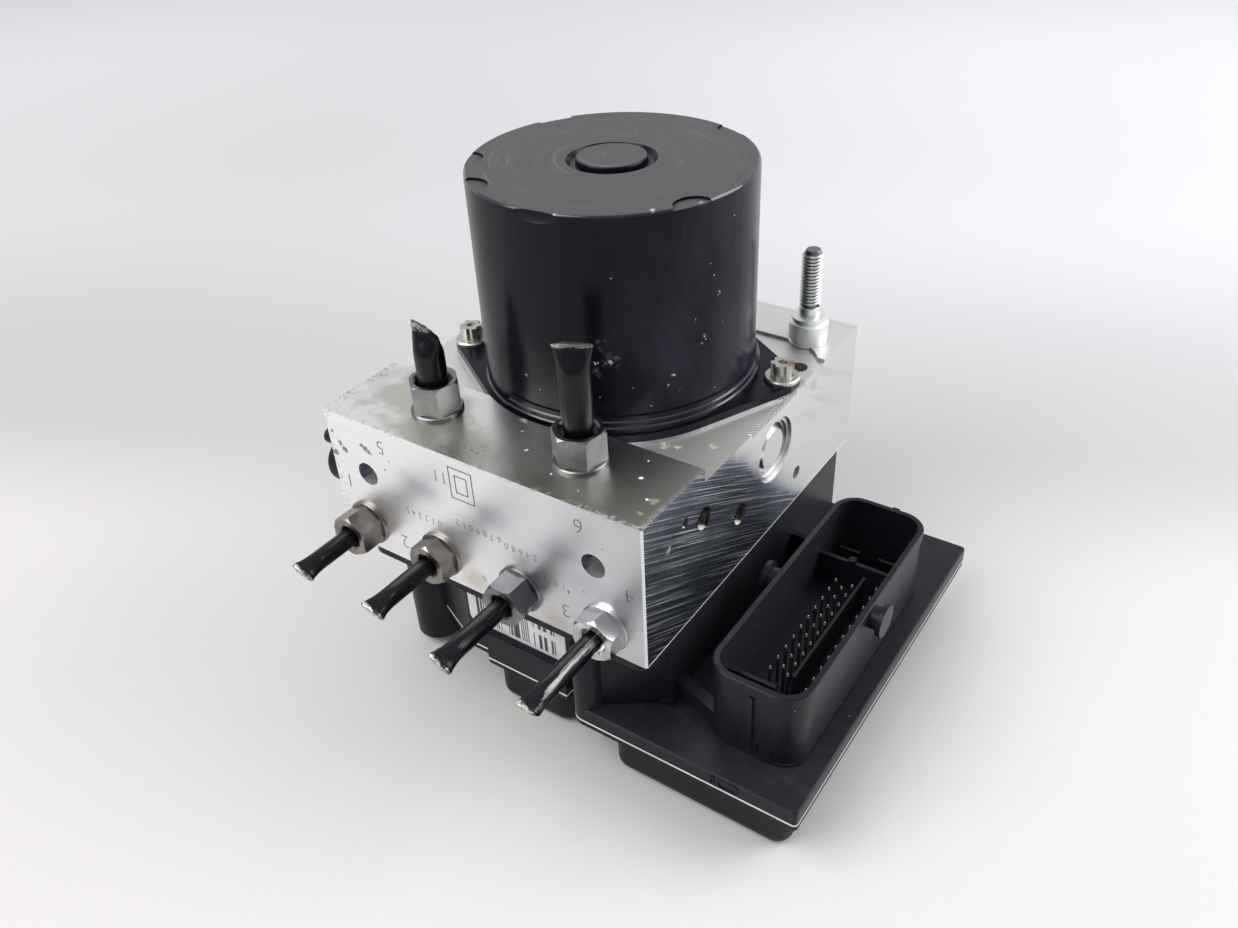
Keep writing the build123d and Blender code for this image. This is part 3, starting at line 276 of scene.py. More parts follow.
milled = Finish("milled_aluminium")
facing_x, facing_y, facing_z = milled.facing()
x, y, z = milled.parts(milled.place)
on_front = milled.step(facing_y, -0.6, -0.9)
on_right = milled.step(facing_x, 0.6, 0.9)
on_top = milled.step(facing_z, 0.6, 0.9)
above_rear = milled.step(z, rear_z + 1.0 * mm, rear_z + 2.0 * mm)
on_ledge = on_top * above_rear
on_rear = on_top * (1 - above_rear)
clouds = milled.noise(milled.place, 45.0, 4.0, 0.6)
wide_clouds = milled.noise(milled.place, 22.0, 2.0)

# Lines of the cutter, face by face; the arcs on the plug side lean by 30 degrees.
front_lines = milled.drawn(25.0, 400.0, 2600.0, 4.0, 0.6)
front_grain = milled.step(front_lines, 0.30, 0.66)
scratches = milled.step(milled.drawn(8.0, 100.0, 900.0, 2.0), 0.62, 0.70) * on_front
top_lines = milled.drawn(30.0, 2400.0, 100.0, 4.0, 0.6)
along = y * 0.866 - z * 0.5
across = y * 0.5 + z * 0.866 + along * along * 0.25
arcs = milled.noise(milled.at(along * 20.0, across * 3400.0, 0.0), 1.0, 2.0)
wide_arcs = milled.noise(milled.at(along * 16.0, across * 1150.0, 0.5), 1.0, 2.0)
arc_patches = milled.step(milled.noise(milled.place, 75.0, 2.0), 0.30, 0.60)
arc_grooves = milled.step(arcs, 0.54, 0.66) * (0.30 + arc_patches * 0.70)
arc_grooves = milled.either(arc_grooves, milled.step(wide_arcs, 0.62, 0.72) * 0.5)
rear_lines = milled.drawn(100.0, 20.0, 1900.0)
rear_edge = milled.noise(milled.place, 90.0, 4.0, 0.7) * 0.014
rear_part = milled.step(y + z * 1.1 + rear_edge, 0.070, 0.077)
right_lines = arc_grooves * (1 - rear_part * 0.9) + rear_lines * rear_part * 0.5

# Rust, stains, specks and pits.
ragged = milled.warp(milled.warp(milled.place, 260.0, 0.004), 1100.0, 0.0022)
crumbled = milled.step(milled.noise(milled.place, 1300.0, 3.0, 0.65), 0.40, 0.56)
rust = milled.patch(ragged, (
    (-3.2, -39.8, ledge, 1.6), (43.6, -56.6, ledge, 1.1), (43.3, -51.5, ledge, 1.5),
    (right, -51.3, ledge - 13.0, 1.3), (right, 16.0, rear - 0.3, 1.7), (right - 1.0, 18.0, rear, 1.9),
    (-2.9, front, ledge - 36.6, 1.4)), 0.1)
rust = rust * (0.55 + crumbled * 0.45)
streaks = milled.noise(milled.at(along * 22.0, across * 260.0, 2.0), 1.0, 3.0)
streaks = milled.step(streaks, 0.52, 0.74) * rear_part * on_right
seeped = milled.patch(ragged, ((right - 1.0, 9.2, 72.0, 5.0), (right - 2.0, 9.8, 69.0, 3.6)), 0.3)
seeped = seeped * (1 - on_right)
brown = milled.patch(ragged, ((20.0, front, ledge - 39.4, 5.0), (-6.0, front, ledge - 38.0, 6.0),
                              (11.0, front, ledge - 24.0, 4.0), (47.0, 24.0, ledge - 8.0, 3.0)), 0.1)
streaky = milled.warp(milled.stretch(milled.place, 0.62, 1.0, 1.0), 120.0, 0.007)
blue = milled.patch(streaky, ((15.0, front, ledge - 15.7, 6.0), (-13.6, front, ledge - 14.2, 6.5),
                              (1.2, front, ledge - 13.9, 6.0), (19.5, front, ledge - 23.0, 6.0)), 0.0)
blue = blue * (0.45 + front_lines * 0.8)
yellow = milled.patch(ragged, ((30.8, -26.3, rear, 2.2), (41.2, -21.1, rear, 1.5),
                               (34.0, -25.5, rear, 1.3)), 0.1)
yellow = yellow * crumbled
specks = milled.patch(milled.warp(milled.place, 1500.0, 0.0012), (
    (5.9, -49.9, ledge, 0.5), (33.9, -38.7, ledge, 0.45), (36.2, -45.3, ledge, 0.7),
    (17.1, -54.8, ledge, 0.4), (41.9, -51.6, ledge, 0.6), (-0.2, -43.9, ledge, 0.35),
    (26.5, -57.0, ledge, 0.35), (right, -36.5, ledge - 13.5, 0.5)), 0.3)
pits = milled.patch(milled.warp(milled.place, 900.0, 0.0022), (
    (-40.2, front, ledge - 7.6, 0.9), (-39.0, front, ledge - 8.4, 1.2), (-37.8, front, ledge - 9.0, 1.1),
    (-36.8, front, ledge - 9.5, 0.5), (-32.9, front, ledge - 12.8, 0.5), (-48.4, front, ledge - 9.6, 1.1),
    (-47.2, front, ledge - 11.4, 1.2), (-31.0, front, ledge - 9.2, 0.4), (36.2, front, ledge - 9.8, 0.45),
    (25.0, front, ledge - 28.0, 0.5), (29.6, front, ledge - 25.4, 0.4), (31.2, front, ledge - 31.0, 0.6),
    (-50.6, front, ledge - 6.4, 0.8), (-51.2, front, ledge - 13.6, 1.3), (-7.9, -57.1, ledge, 0.5),
    (-5.8, -57.0, ledge, 0.6), (-3.6, -57.3, ledge, 0.6), (-1.4, -57.2, ledge, 0.4),
    (-2.6, -55.6, ledge, 0.45), (-4.4, -54.2, ledge, 0.4), (-6.6, -55.4, ledge, 0.4)), 0.5)

# Bores of the sealing balls: their walls painted dark as shade, a painted glint low in each, and a dark lip
# round the two large ones.
large_bores = ((-35.1, 69.5), (-16.6, 58.5))
shaded_seats = milled.patch(milled.place, [(right - 1.5, *bore, 4.4) for bore in large_bores]
                     + [(right - 1.0, -43.9, 74.2, 2.6)], 0.8)
shaded_seats = shaded_seats * (1 - on_right) * (x < block_high.x - 0.02 * mm)
seat_glints = milled.patch(milled.place, ((right - 0.7, -35.6, 66.7, 1.8), (right - 0.7, -17.1, 55.7, 1.7),
                                          (right - 0.4, -44.1, 73.0, 0.6)), 0.55)
seat_glints = shaded_seats * seat_glints
seat_rings = milled.step(milled.drawn(1500.0, 200.0, 200.0, 2.0), 0.45, 0.60)
lip = milled.patch(milled.warp(milled.place, 500.0, 0.0012),
                   [(right, *bore, 3.6) for bore in large_bores], 0.88) * on_right

# Edges: painted shade in the gaps between the teeth, a painted highlight along the foot, grime in the rims,
# worn corners.
phase = (y - edge_start) * (1 / tooth_pitch) + 0.25
tooth_gap_shade = (phase.math("FRACT", phase) > 0.5) * (y > edge_start - 0.1 * mm) * (y < edge_end - 0.1 * mm)
tooth_gap_shade = tooth_gap_shade * (z > rear_z - 1.2 * mm) * (x > block_high.x - 1.0 * mm)
foot_highlight = on_right * milled.step(z, block_low.z + 0.45 * mm, block_low.z + 0.25 * mm)
left_rim = milled.step(x, block_low.x + 5.0 * mm, block_low.x + 0.5 * mm)
front_rim = milled.step(y, block_low.y + 2.2 * mm, block_low.y + 0.3 * mm)
upper_rim = milled.step(z, block_high.z - 1.3 * mm, block_high.z - 0.1 * mm)
dirt = milled.noise(milled.place, 900.0, 4.0, 0.7)
grime = on_ledge * milled.either(left_rim, front_rim * 0.7)
grime = grime + on_front * milled.either(left_rim * 0.5, upper_rim * 0.5)
grime = grime * milled.step(dirt, 0.50, 0.64)
film = milled.step(wide_clouds + x * 6.0 + y * -2.0, 0.45, 0.85)
near_right = x - block_high.x + 6.0 * mm
near_front = (y * -1.0 + block_low.y + 6.0 * mm) * (x > 0.030)
worn = milled.step(milled.either(near_right, near_front) + clouds * 4.0 * mm, 6.0 * mm, 8.5 * mm)

# Tones, laid one over the other; what isn't bare metal is dull.
tone = milled.tint(front_grain * 0.7 + clouds * 0.3, (0.88, 0.89, 0.92), (1.0, 1.0, 1.0))
# The front face is darker towards its right end and its foot.
right_front_darkening = milled.step(x + z * -0.3 + wide_clouds * 0.05, -0.005, 0.050) * on_front
tone = milled.tint(right_front_darkening * (0.45 + front_lines * 0.55), tone, (0.44, 0.45, 0.48))
tone = milled.tint(on_ledge, tone, milled.tint(film, (0.88, 0.87, 0.83), (0.50, 0.49, 0.44)))
tone = milled.tint(on_ledge * milled.step(clouds, 0.46, 0.62) * 0.6, tone, (0.40, 0.38, 0.30))
tone = milled.tint(worn * on_ledge * milled.step(dirt, 0.35, 0.6), tone, (0.92, 0.91, 0.87))
tone = milled.tint(on_rear, tone, milled.tint(top_lines, (0.62, 0.61, 0.57), (0.92, 0.91, 0.87)))
right_tone = milled.tint(rear_part, (0.54, 0.62, 0.76), (0.74, 0.74, 0.735))
tone = milled.tint(on_right, tone, milled.tint(right_lines, right_tone, (0.97, 0.97, 0.96)))
tone = milled.tint(blue * 0.5, tone, (0.38, 0.42, 0.54))
tone = milled.tint(brown * 0.55, tone, (0.52, 0.45, 0.34))
tone = milled.tint(streaks * 0.40, tone, (0.55, 0.44, 0.37))
tone = milled.tint(seeped * 0.7, tone, (0.26, 0.15, 0.10))
# Painted shade on the walls of the ball bores.
tone = milled.tint(shaded_seats, tone, milled.tint(seat_rings, (0.05, 0.045, 0.04), (0.24, 0.22, 0.19)))
# Painted shade in the gaps between the teeth.
tone = milled.tint(tooth_gap_shade, tone, (0.02, 0.02, 0.02))
tone = milled.tint(lip * 0.8, tone, (0.10, 0.10, 0.11))
# Painted glints in the bores and a painted highlight along the foot.
tone = milled.tint(milled.either(seat_glints, foot_highlight * 0.7), tone, (0.98, 0.97, 0.95))
tone = milled.tint(yellow * 0.6, tone, (0.78, 0.72, 0.40))
tone = milled.tint(rust * 0.7, tone, (0.24, 0.11, 0.035))
tone = milled.tint(milled.either(grime * 0.8, pits * 0.85), tone, (0.13, 0.12, 0.11))
tone = milled.tint(specks, tone, (0.92, 0.92, 0.88))
dull = milled.either(rust, grime, pits, specks, yellow * 0.7, seat_glints, foot_highlight, tooth_gap_shade,
                     on_right * (1 - rear_part) * (0.02 + right_lines * 0.13))
rough = 0.30 + front_lines * on_front * 0.12 - on_ledge * 0.10 + on_ledge * clouds * 0.16 + on_rear * 0.20
rough = rough + on_ledge * milled.step(x + wide_clouds * 0.03, 0.030, 0.062) * 0.16
rough = rough + on_right * (right_lines * 0.16 - 0.08) + rear_part * on_right * 0.12
lines = front_lines * on_front * 0.8 + top_lines * on_rear * 1.2 + top_lines * on_ledge * 0.3
lines = lines + right_lines * on_right * 0.5
milled.paint(Base_Color=tone, Metallic=1 - dull * 0.8, Roughness=rough + dull * 0.35,
             Normal=milled.bump(lines * 0.6 + scratches * -0.5 + clouds * 0.2, 0.04 * mm, 0.45))
milled.on("valve_block")


# Port numbers: single figures stamped beside the ports, and small rows of figures between them,
# upside down as the block lies here. Each is a thin stroke, a few hundredths of a millimetre proud
# of the face and painted dark as the shade in a stamped groove.
port_figure = 6.2
row_figure = 2.9
stroke_thinning = 0.16 / port_figure
stamp_rise = 0.02 * mm
upright = Matrix.Rotation(math.pi / 2, 4, "X")
turned_over = upright @ Matrix.Rotation(math.pi, 4, "Z")
stamped = Finish("groove_shade_paint", Metallic=0.6)
groove_mottle = stamped.noise(stamped.place, 900.0, 3.0)
stamped.paint(Base_Color=stamped.tint(groove_mottle, (0.05, 0.05, 0.055), (0.20, 0.20, 0.21)),
              Roughness=0.45 + groove_mottle * 0.3)


def lettering(name, figures, size, rise, thinned=0.0, spacing=1.0):
    """Figures as a mesh that lies in the XY plane and is as thick as rise, to both sides of it."""
    bpy.ops.object.text_add()
    text = bpy.context.object
    text.name = name
    text.data.body = figures
    text.data.size = size
    text.data.align_x = "CENTER"
    text.data.align_y = "CENTER"
    text.data.space_character = spacing
    text.data.offset = -thinned
    text.data.extrude = rise
    bpy.ops.object.convert(target="MESH")
    text = bpy.context.object
    text.data.materials.clear()
    return text


def settle(body, place, finish):
    """Puts a finished mesh at its place, gives it its finish, and lets it ride on the unit."""
    body.data.transform(place)
    body.data.materials.append(finish.material)
    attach(body, "unit")


for figures, across_x, drop, size in (
        ("1", -48.0, 21.5, port_figure), ("2", -30.5, 35.5, port_figure), ("3", 23.6, 34.5, port_figure),
        ("4", 43.0, 21.0, port_figure), ("5", -33.0, 5.6, port_figure), ("6", 29.5, 5.6, port_figure),
        ("0 1 2 3 4 5", -21.5, 23.6, row_figure), ("11", -13.0, 7.4, 5.4),
        ("6 7 8 9 0 1 2", -2.5, 20.4, row_figure), ("2 4 6 8 0", 11.0, 21.4, row_figure),
        ("3 5 7", 16.0, 26.5, 2.7), ("1 0", 22.5, 27.0, 2.7)):
    name = "stamp_" + figures.replace(" ", "_")
    number = lettering(name, figures, size * mm, stamp_rise, stroke_thinning * size * mm)
    place = Matrix.Translation((across_x * mm, block_low.y - stamp_rise, block_high.z - drop * mm))
    settle(number, place @ turned_over, stamped)


# Stamped frame: two plain square outlines, one in the other, pressed into the front face by the same
# tool that stamped the figures, left a few hundredths proud here and painted with the same groove shade.
def outline(name, width, height, line, rise, corner=0.0):
    """Rectangular ring in the XY plane, line wide, its corners cut round, raised by rise."""
    bpy.ops.object.select_all(action="DESELECT")
    bpy.ops.mesh.primitive_plane_add(size=1.0, location=(0.0, 0.0, 0.0))
    ring = bpy.context.object
    ring.name = name
    bpy.ops.object.mode_set(mode="EDIT")
    bpy.ops.transform.resize(value=(width, height, 1.0), center_override=(0.0, 0.0, 0.0))
    if corner > 0.0:
        bpy.ops.mesh.bevel(offset=corner, segments=4, affect="VERTICES")
    bpy.ops.mesh.inset(thickness=line)
    bpy.ops.mesh.delete(type="FACE")
    bpy.ops.object.mode_set(mode="OBJECT")
    raised = ring.modifiers.new("raised", "SOLIDIFY")
    raised.thickness = rise
    raised.offset = 1.0
    bpy.ops.object.modifier_apply(modifier=raised.name)
    return ring


frame_line = 0.24 * mm
frame_rise = 0.05 * mm
frame_place = Matrix.Translation((-6.0 * mm, block_low.y - 0.01 * mm, block_high.z - 7.9 * mm)) @ upright
for name, width, height in (("stamp_frame_outer", 7.6, 9.6), ("stamp_frame_inner", 4.0, 5.4)):
    stamp_frame = outline(name, width * mm, height * mm, frame_line, frame_rise)
    settle(stamp_frame, frame_place, stamped)


# Serrated edge: the cutter that faced the plug side left a row of fine teeth along the top edge
# beside the motor. Each tooth is a slim burr of bare metal, painted bright as a glint, standing a little
# off both faces.
tooth_size = (1.10 * mm, 0.40 * mm, 1.30 * mm)
first_tooth = (block_high.x - 0.50 * mm, edge_start, rear_z - 0.57 * mm)
bare_edge_and_glint = Finish("bare_edge_and_glint", Metallic=0.35)
glint = bare_edge_and_glint.noise(bare_edge_and_glint.place, 1100.0, 2.0)
bare_edge_and_glint.paint(Base_Color=bare_edge_and_glint.tint(glint, (0.80, 0.80, 0.80), (1.0, 1.0, 1.0)),
                Roughness=0.22 + glint * 0.2)
bpy.ops.object.select_all(action="DESELECT")
bpy.ops.mesh.primitive_cube_add(size=1.0, location=(0.0, 0.0, 0.0))
teeth = bpy.context.object
teeth.name = "edge_teeth"
bpy.ops.object.mode_set(mode="EDIT")
bpy.ops.transform.resize(value=tooth_size, center_override=(0.0, 0.0, 0.0))
bpy.ops.object.mode_set(mode="OBJECT")
row = teeth.modifiers.new("row", "ARRAY")
row.count = int((edge_end - edge_start) / tooth_pitch)
row.use_relative_offset = False
row.use_constant_offset = True
row.constant_offset_displace = (0.0, tooth_pitch, 0.0)
bpy.ops.object.modifier_apply(modifier=row.name)
settle(teeth, Matrix.Translation(first_tooth), bare_edge_and_glint)


# Tube nuts: zinc-plated steel, cold-formed, with a few years of dull bloom. They differ in tone: the first
# two wheel nuts are warmer and the last is almost new. The third's top is painted darker as shade, the last
# one's top carries a painted highlight and its side painted shade, and the master nuts' sides towards +X
# are painted lighter on the left nut, darker on the right.
plated = Finish("zinc_plate", Metallic=1.0)
x, y, z = plated.parts(plated.place)
facing_x, facing_y, facing_z = plated.facing()
bloom = plated.noise(plated.place, 140.0, 4.0, 0.6)
fine = plated.noise(plated.place, 1500.0, 3.0)
patchy = plated.step(plated.noise(plated.place, 210.0, 3.0, 0.5), 0.30, 0.75)
wheel_side = plated.step(y, -0.060, -0.0625)
first_two = plated.step(x, -0.002, -0.006) * wheel_side
third = plated.step(x, 0.000, 0.002) * plated.step(x, 0.022, 0.018) * wheel_side
fourth_nut = plated.step(x, 0.026, 0.028) * wheel_side
master = plated.step(z, block_high.z - 1.0 * mm, block_high.z)
on_top = plated.step(facing_z, 0.3, 0.8)
on_side = plated.step(facing_x, 0.3, 0.7) * 0.6
tone = plated.tint(bloom * 0.5 + patchy * 0.5, (0.13, 0.13, 0.14), (0.31, 0.31, 0.32))
tone = plated.tint(first_two * 0.7, tone, plated.tint(patchy, (0.19, 0.17, 0.145), (0.36, 0.325, 0.28)))
tone = plated.tint(fourth_nut, tone, plated.tint(patchy, (0.46, 0.46, 0.455), (0.70, 0.70, 0.69)))
# Painted shade on the third nut's top, a painted highlight on the last one's top and painted shade on its
# side.
tone = plated.tint(third * on_top * 0.75, tone, (0.09, 0.09, 0.095))
tone = plated.tint(fourth_nut * on_top, tone, (0.97, 0.97, 0.96))
tone = plated.tint(fourth_nut * plated.step(facing_x, 0.3, 0.8) * 0.7, tone, (0.40, 0.40, 0.41))
# Painted light and shade on the master nuts' sides towards +X: lighter on the left nut, darker on the
# right.
tone = plated.tint(master * (x < 0.0) * on_side, tone, (0.36, 0.36, 0.38))
tone = plated.tint(master * (x > 0.0) * on_side, tone, (0.08, 0.08, 0.085))
plated.paint(Base_Color=tone, Roughness=0.24 + bloom * 0.14 - fourth_nut * 0.08,
             Normal=plated.bump(fine + bloom * 2.0, 0.02 * mm, 0.5))
plated.on("wheel_line_nuts", "master_line_nuts")


# Pipe stubs: steel brake pipes in a glossy black plastic coat, cut off with pliers. The free end is
# pinched flat into a fishtail, with the torn bright steel showing in its slot.
def drawn_up(name, sections, sides):
    """Closed body along +Z through the given (z, half_x, half_y) sections, each extruded from the last."""
    z, half_x, half_y = sections[0]
    bpy.ops.object.select_all(action="DESELECT")
    bpy.ops.mesh.primitive_circle_add(vertices=sides, radius=1.0, fill_type="NGON", location=(0.0, 0.0, z))
    body = bpy.context.object
    body.name = name
    bpy.ops.object.mode_set(mode="EDIT")
    bpy.ops.transform.resize(value=(half_x, half_y, 1.0), center_override=(0.0, 0.0, z))
    for next_z, next_x, next_y in sections[1:]:
        bpy.ops.mesh.extrude_region_move(TRANSFORM_OT_translate={"value": (0.0, 0.0, next_z - z)})
        bpy.ops.transform.resize(value=(next_x / half_x, next_y / half_y, 1.0),
                                 center_override=(0.0, 0.0, next_z))
        z, half_x, half_y = next_z, next_x, next_y
    return body


def close_up(body, smooth=40.0):
    """Leaves edit mode with the doubles merged, the faces outwards and the round stretches smooth."""
    bpy.ops.mesh.select_all(action="SELECT")
    bpy.ops.mesh.remove_doubles(threshold=1e-7)
    bpy.ops.mesh.normals_make_consistent(inside=False)
    bpy.ops.object.mode_set(mode="OBJECT")
    bpy.ops.object.shade_smooth_by_angle(angle=math.radians(smooth))
    bpy.ops.object.transform_apply(location=True, rotation=True, scale=True)


def coated(name, place, reach, bare_strip, shine):
    """Black coat with a steel-bright torn end; bare_strip is how much of one side is scraped."""
    coat = Finish(name + "_coat", Specular_IOR_Level=0.26)
    local = coat.node("Mapping", {"vector_type": "TEXTURE"},
                      {"Vector": coat.place, "Location": place.translation, "Rotation": place.to_euler()})
    x, y, z = coat.parts(local)
    ragged = coat.noise(local, 900.0, 3.0)
    torn = coat.step(z + ragged * 0.9 * mm, reach - 0.50 * mm, reach - 0.05 * mm)
    slot_zone = coat.step(abs(y) + (ragged - 0.5) * 0.9 * mm, 1.25 * mm, 0.95 * mm)
    bare = torn * slot_zone
    scraped = coat.noise(coat.stretch(local, 500.0, 500.0, 60.0), 1.0, 3.0)
    scraped = coat.step(scraped, 0.66 - bare_strip, 0.69 - bare_strip)
    strip = coat.step(abs(x - 1.1 * mm), 1.0 * mm, 0.5 * mm) * coat.step(y, 0.0, 0.4 * mm)
    bare = coat.either(bare, scraped * strip * min(1.0, bare_strip * 8.0))
    dust = coat.noise(coat.stretch(local, 300.0, 300.0, 60.0), 1.0, 4.0, 0.6)
    tone = coat.tint(coat.step(dust, 0.55, 0.85), (0.004, 0.004, 0.006), (0.016, 0.016, 0.020))
    metal = coat.tint(coat.noise(local, 1800.0, 2.0), (0.40 * shine, 0.39 * shine, 0.36 * shine),
                      (1.00 * shine, 0.98 * shine, 0.94 * shine))
    metal = coat.tint(strip, metal, (0.17, 0.17, 0.17))
    creases = coat.noise(coat.stretch(local, 420.0, 420.0, 55.0), 1.0, 3.0)
    coat.paint(Base_Color=coat.tint(bare, tone, metal), Metallic=bare,
               Roughness=0.16 + dust * 0.16 + bare * 0.12,
               Normal=coat.bump(creases + ragged * bare * 2.5, 0.10 * mm, 0.7))
    return coat


def pipe_stub(node, place, radius, start, reach, wide, slant, bare_strip, shine):
    """One crushed stub along +Z of its place, from start, inside the nut, to its torn lip at reach.
    The lip is wide to each side of its middle, and its cut leans by slant degrees."""
    crush_length = 7.0 * mm
    crush = reach - crush_length
    sections = [(z, radius, radius) for z in (start, crush - 6.0 * mm, crush - 2.0 * mm)]
    for share in (0.0, 0.2, 0.4, 0.6, 0.78, 0.9, 1.0):
        ease = share * share * (3.0 - 2.0 * share)
        half_x = radius * (1.0 + 0.05 * ease) + (wide - radius * 1.05) * share ** 3
        half_y = radius + (1.25 * mm - radius) * ease
        sections.append((crush + 6.6 * mm * share, half_x, half_y))
    stub = drawn_up(node + "_stub", sections, 48)
    bpy.ops.mesh.inset(thickness=0.32 * mm, depth=0.10 * mm)
    bpy.ops.mesh.extrude_region_move(TRANSFORM_OT_translate={"value": (0.0, 0.0, -0.5 * mm)})
    bpy.ops.mesh.inset(thickness=0.28 * mm, depth=0.0)
    bpy.ops.mesh.extrude_region_move(TRANSFORM_OT_translate={"value": (0.0, 0.0, 0.55 * mm)})
    bpy.ops.mesh.poke()
    close_up(stub, 50.0)
    rounds = stub.modifiers.new("coat_round", "SUBSURF")
    rounds.levels = 1
    rounds.render_levels = 1
    bpy.ops.object.modifier_apply(modifier=rounds.name)
    tear = bpy.data.textures.new(node + "_tear", "CLOUDS")
    tear.noise_scale = 1.4 * mm
    wrinkle = stub.modifiers.new("wrinkle", "DISPLACE")
    wrinkle.texture = tear
    wrinkle.strength = 0.45 * mm
    wrinkle.mid_level = 0.5
    crushed = stub.vertex_groups.new(name="crushed")
    for corner in stub.data.vertices:
        depth = (corner.co.z - crush) / crush_length
        crushed.add([corner.index], max(0.0, min(1.0, depth)) ** 1.5, "REPLACE")
    wrinkle.vertex_group = "crushed"
    bpy.ops.object.modifier_apply(modifier=wrinkle.name)
    lean = math.tan(math.radians(slant))
    for corner in stub.data.vertices:
        depth = max(0.0, min(1.0, (corner.co.z - crush) / crush_length))
        corner.co.z -= corner.co.x * lean * depth
    stub.vertex_groups.clear()
    settle(stub, place, coated(node, place, reach, bare_strip, shine))
    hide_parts(node)


wheel_pipe_radius = 2.6 * mm
wheel_port_drop = 34.0 * mm
wheel_start = -2.0 * mm
for node, x, reach, wide, turn, slant, bare_strip in (("wheel_pipe_1", -43.1, 25.6, 3.6, -28.0, 6.0, 0.0),
                                                      ("wheel_pipe_2", -16.9, 26.6, 3.8, -24.0, 4.0, 0.0),
                                                      ("wheel_pipe_3", 9.6, 31.4, 3.8, -32.0, 3.0, 0.02),
                                                      ("wheel_pipe_4", 35.7, 31.3, 3.2, -16.0, 12.0, 0.14)):
    place = Matrix.Translation((x * mm, block_low.y, block_high.z - wheel_port_drop))
    place = place @ upright @ Matrix.Rotation(math.radians(turn), 4, "Z")
    pipe_stub(node, place, wheel_pipe_radius, wheel_start, reach * mm, wide * mm, slant, bare_strip, 1.0)
master_pipe_radius = 3.9 * mm
master_start = 2.0 * mm
for node, x, y, reach, wide, turn, slant in (("master_pipe_1", -25.8, -46.7, 23.4, 4.2, 4.0, 26.0),
                                             ("master_pipe_2", 19.7, -46.5, 31.7, 5.0, 31.0, 3.0)):
    place = Matrix.Translation((x * mm, y * mm, block_high.z)) @ Matrix.Rotation(math.radians(turn), 4, "Z")
    pipe_stub(node, place, master_pipe_radius, master_start, reach * mm, wide * mm, slant, 0.0, 0.45)


# Motor can and flange: deep-drawn steel in semi-gloss black paint, the can rolled at its foot and
# spot-welded to the flange. The top is rubbed dull, the side has small chips, the two flanks carry painted
# reflection, and the flange's lower edge is bare. Chips and smears on the can are given as angle, height
# and radius.
lacquer = Finish("motor_lacquer", Specular_IOR_Level=0.14, Coat_Roughness=0.14)
facing_z = lacquer.facing()[2]
x, y, z = lacquer.parts(lacquer.place)
radius = (x * x + y * y) ** 0.5
can_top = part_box("motor_can")[1].z
can_radius = 36.75
flange_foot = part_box("motor_flange")[0].z
on_top = lacquer.step(facing_z, 0.75, 0.95)
rubbed = on_top * lacquer.step(z, can_top - 4.0 * mm, can_top - 2.0 * mm)
turning = lacquer.noise(lacquer.at(radius * 2200.0, x * 35.0, y * 35.0), 1.0, 3.0)
scuffs = lacquer.noise(lacquer.at(radius * 700.0, x * 60.0, y * 60.0), 1.0, 2.0)
scuffs = lacquer.step(scuffs, 0.60, 0.72) * rubbed
clouds = lacquer.noise(lacquer.place, 38.0, 4.0, 0.6)
ragged = lacquer.warp(lacquer.place, 1300.0, 0.0024)


def on_can(angle, height, size):
    """A spot on the can's side, as (x, y, z, radius) in millimetres."""
    turn = math.radians(angle)
    return (can_radius * math.cos(turn), can_radius * math.sin(turn), height, size)


chips = lacquer.patch(ragged, [on_can(*chip) for chip in (
    (-34.5, 97.4, 0.7), (-32.1, 93.3, 0.4), (-44.0, 89.9, 0.55), (-47.8, 85.2, 0.5), (-25.0, 81.8, 0.5),
    (-20.8, 105.8, 0.55), (-22.0, 104.0, 0.4), (-15.4, 89.5, 0.3), (-13.8, 115.5, 0.55),
    (-16.4, 121.0, 0.35), (-18.5, 124.0, 0.3), (-25.4, 110.8, 0.4), (-64.2, 102.7, 0.6),
    (-58.5, 103.1, 0.7), (-61.2, 102.4, 0.4), (-63.1, 93.0, 0.45), (-37.0, 94.8, 0.4),
    (-11.4, 107.7, 0.35), (-94.7, 95.6, 0.5), (-89.0, 92.6, 0.4),
    (150.0, 104.0, 0.6), (112.0, 118.0, 0.5), (71.0, 96.0, 0.6), (40.0, 110.0, 0.4),
    (-140.0, 98.0, 0.6))], 0.5)
chips = chips * lacquer.step(lacquer.noise(lacquer.place, 2200.0, 2.0), 0.42, 0.50)
rim_chips = lacquer.patch(ragged, (
    (8.8, -35.7, 140.4, 1.2), (-29.5, -18.5, 140.3, 1.4), (-31.5, -14.5, 140.2, 0.9),
    (33.2, -13.2, 140.0, 1.3), (27.0, -23.4, 140.0, 0.9)), 0.2)
specks = lacquer.node("TexVoronoi", None, {"Vector": lacquer.place, "Scale": 260.0}, "Distance")
speck_pick = lacquer.noise(lacquer.place, 130.0, 0.0)
dust = lacquer.step(specks, 0.06, 0.03) * lacquer.step(speck_pick, 0.64, 0.68)
smear = lacquer.patch(lacquer.warp(lacquer.place, 200.0, 0.006), [on_can(*spot) for spot in (
    (-62.0, 108.0, 3.4), (-58.0, 104.0, 3.6), (-64.0, 100.0, 2.6))], 0.1)
smear = smear * lacquer.step(lacquer.noise(lacquer.place, 700.0, 3.0), 0.40, 0.75)
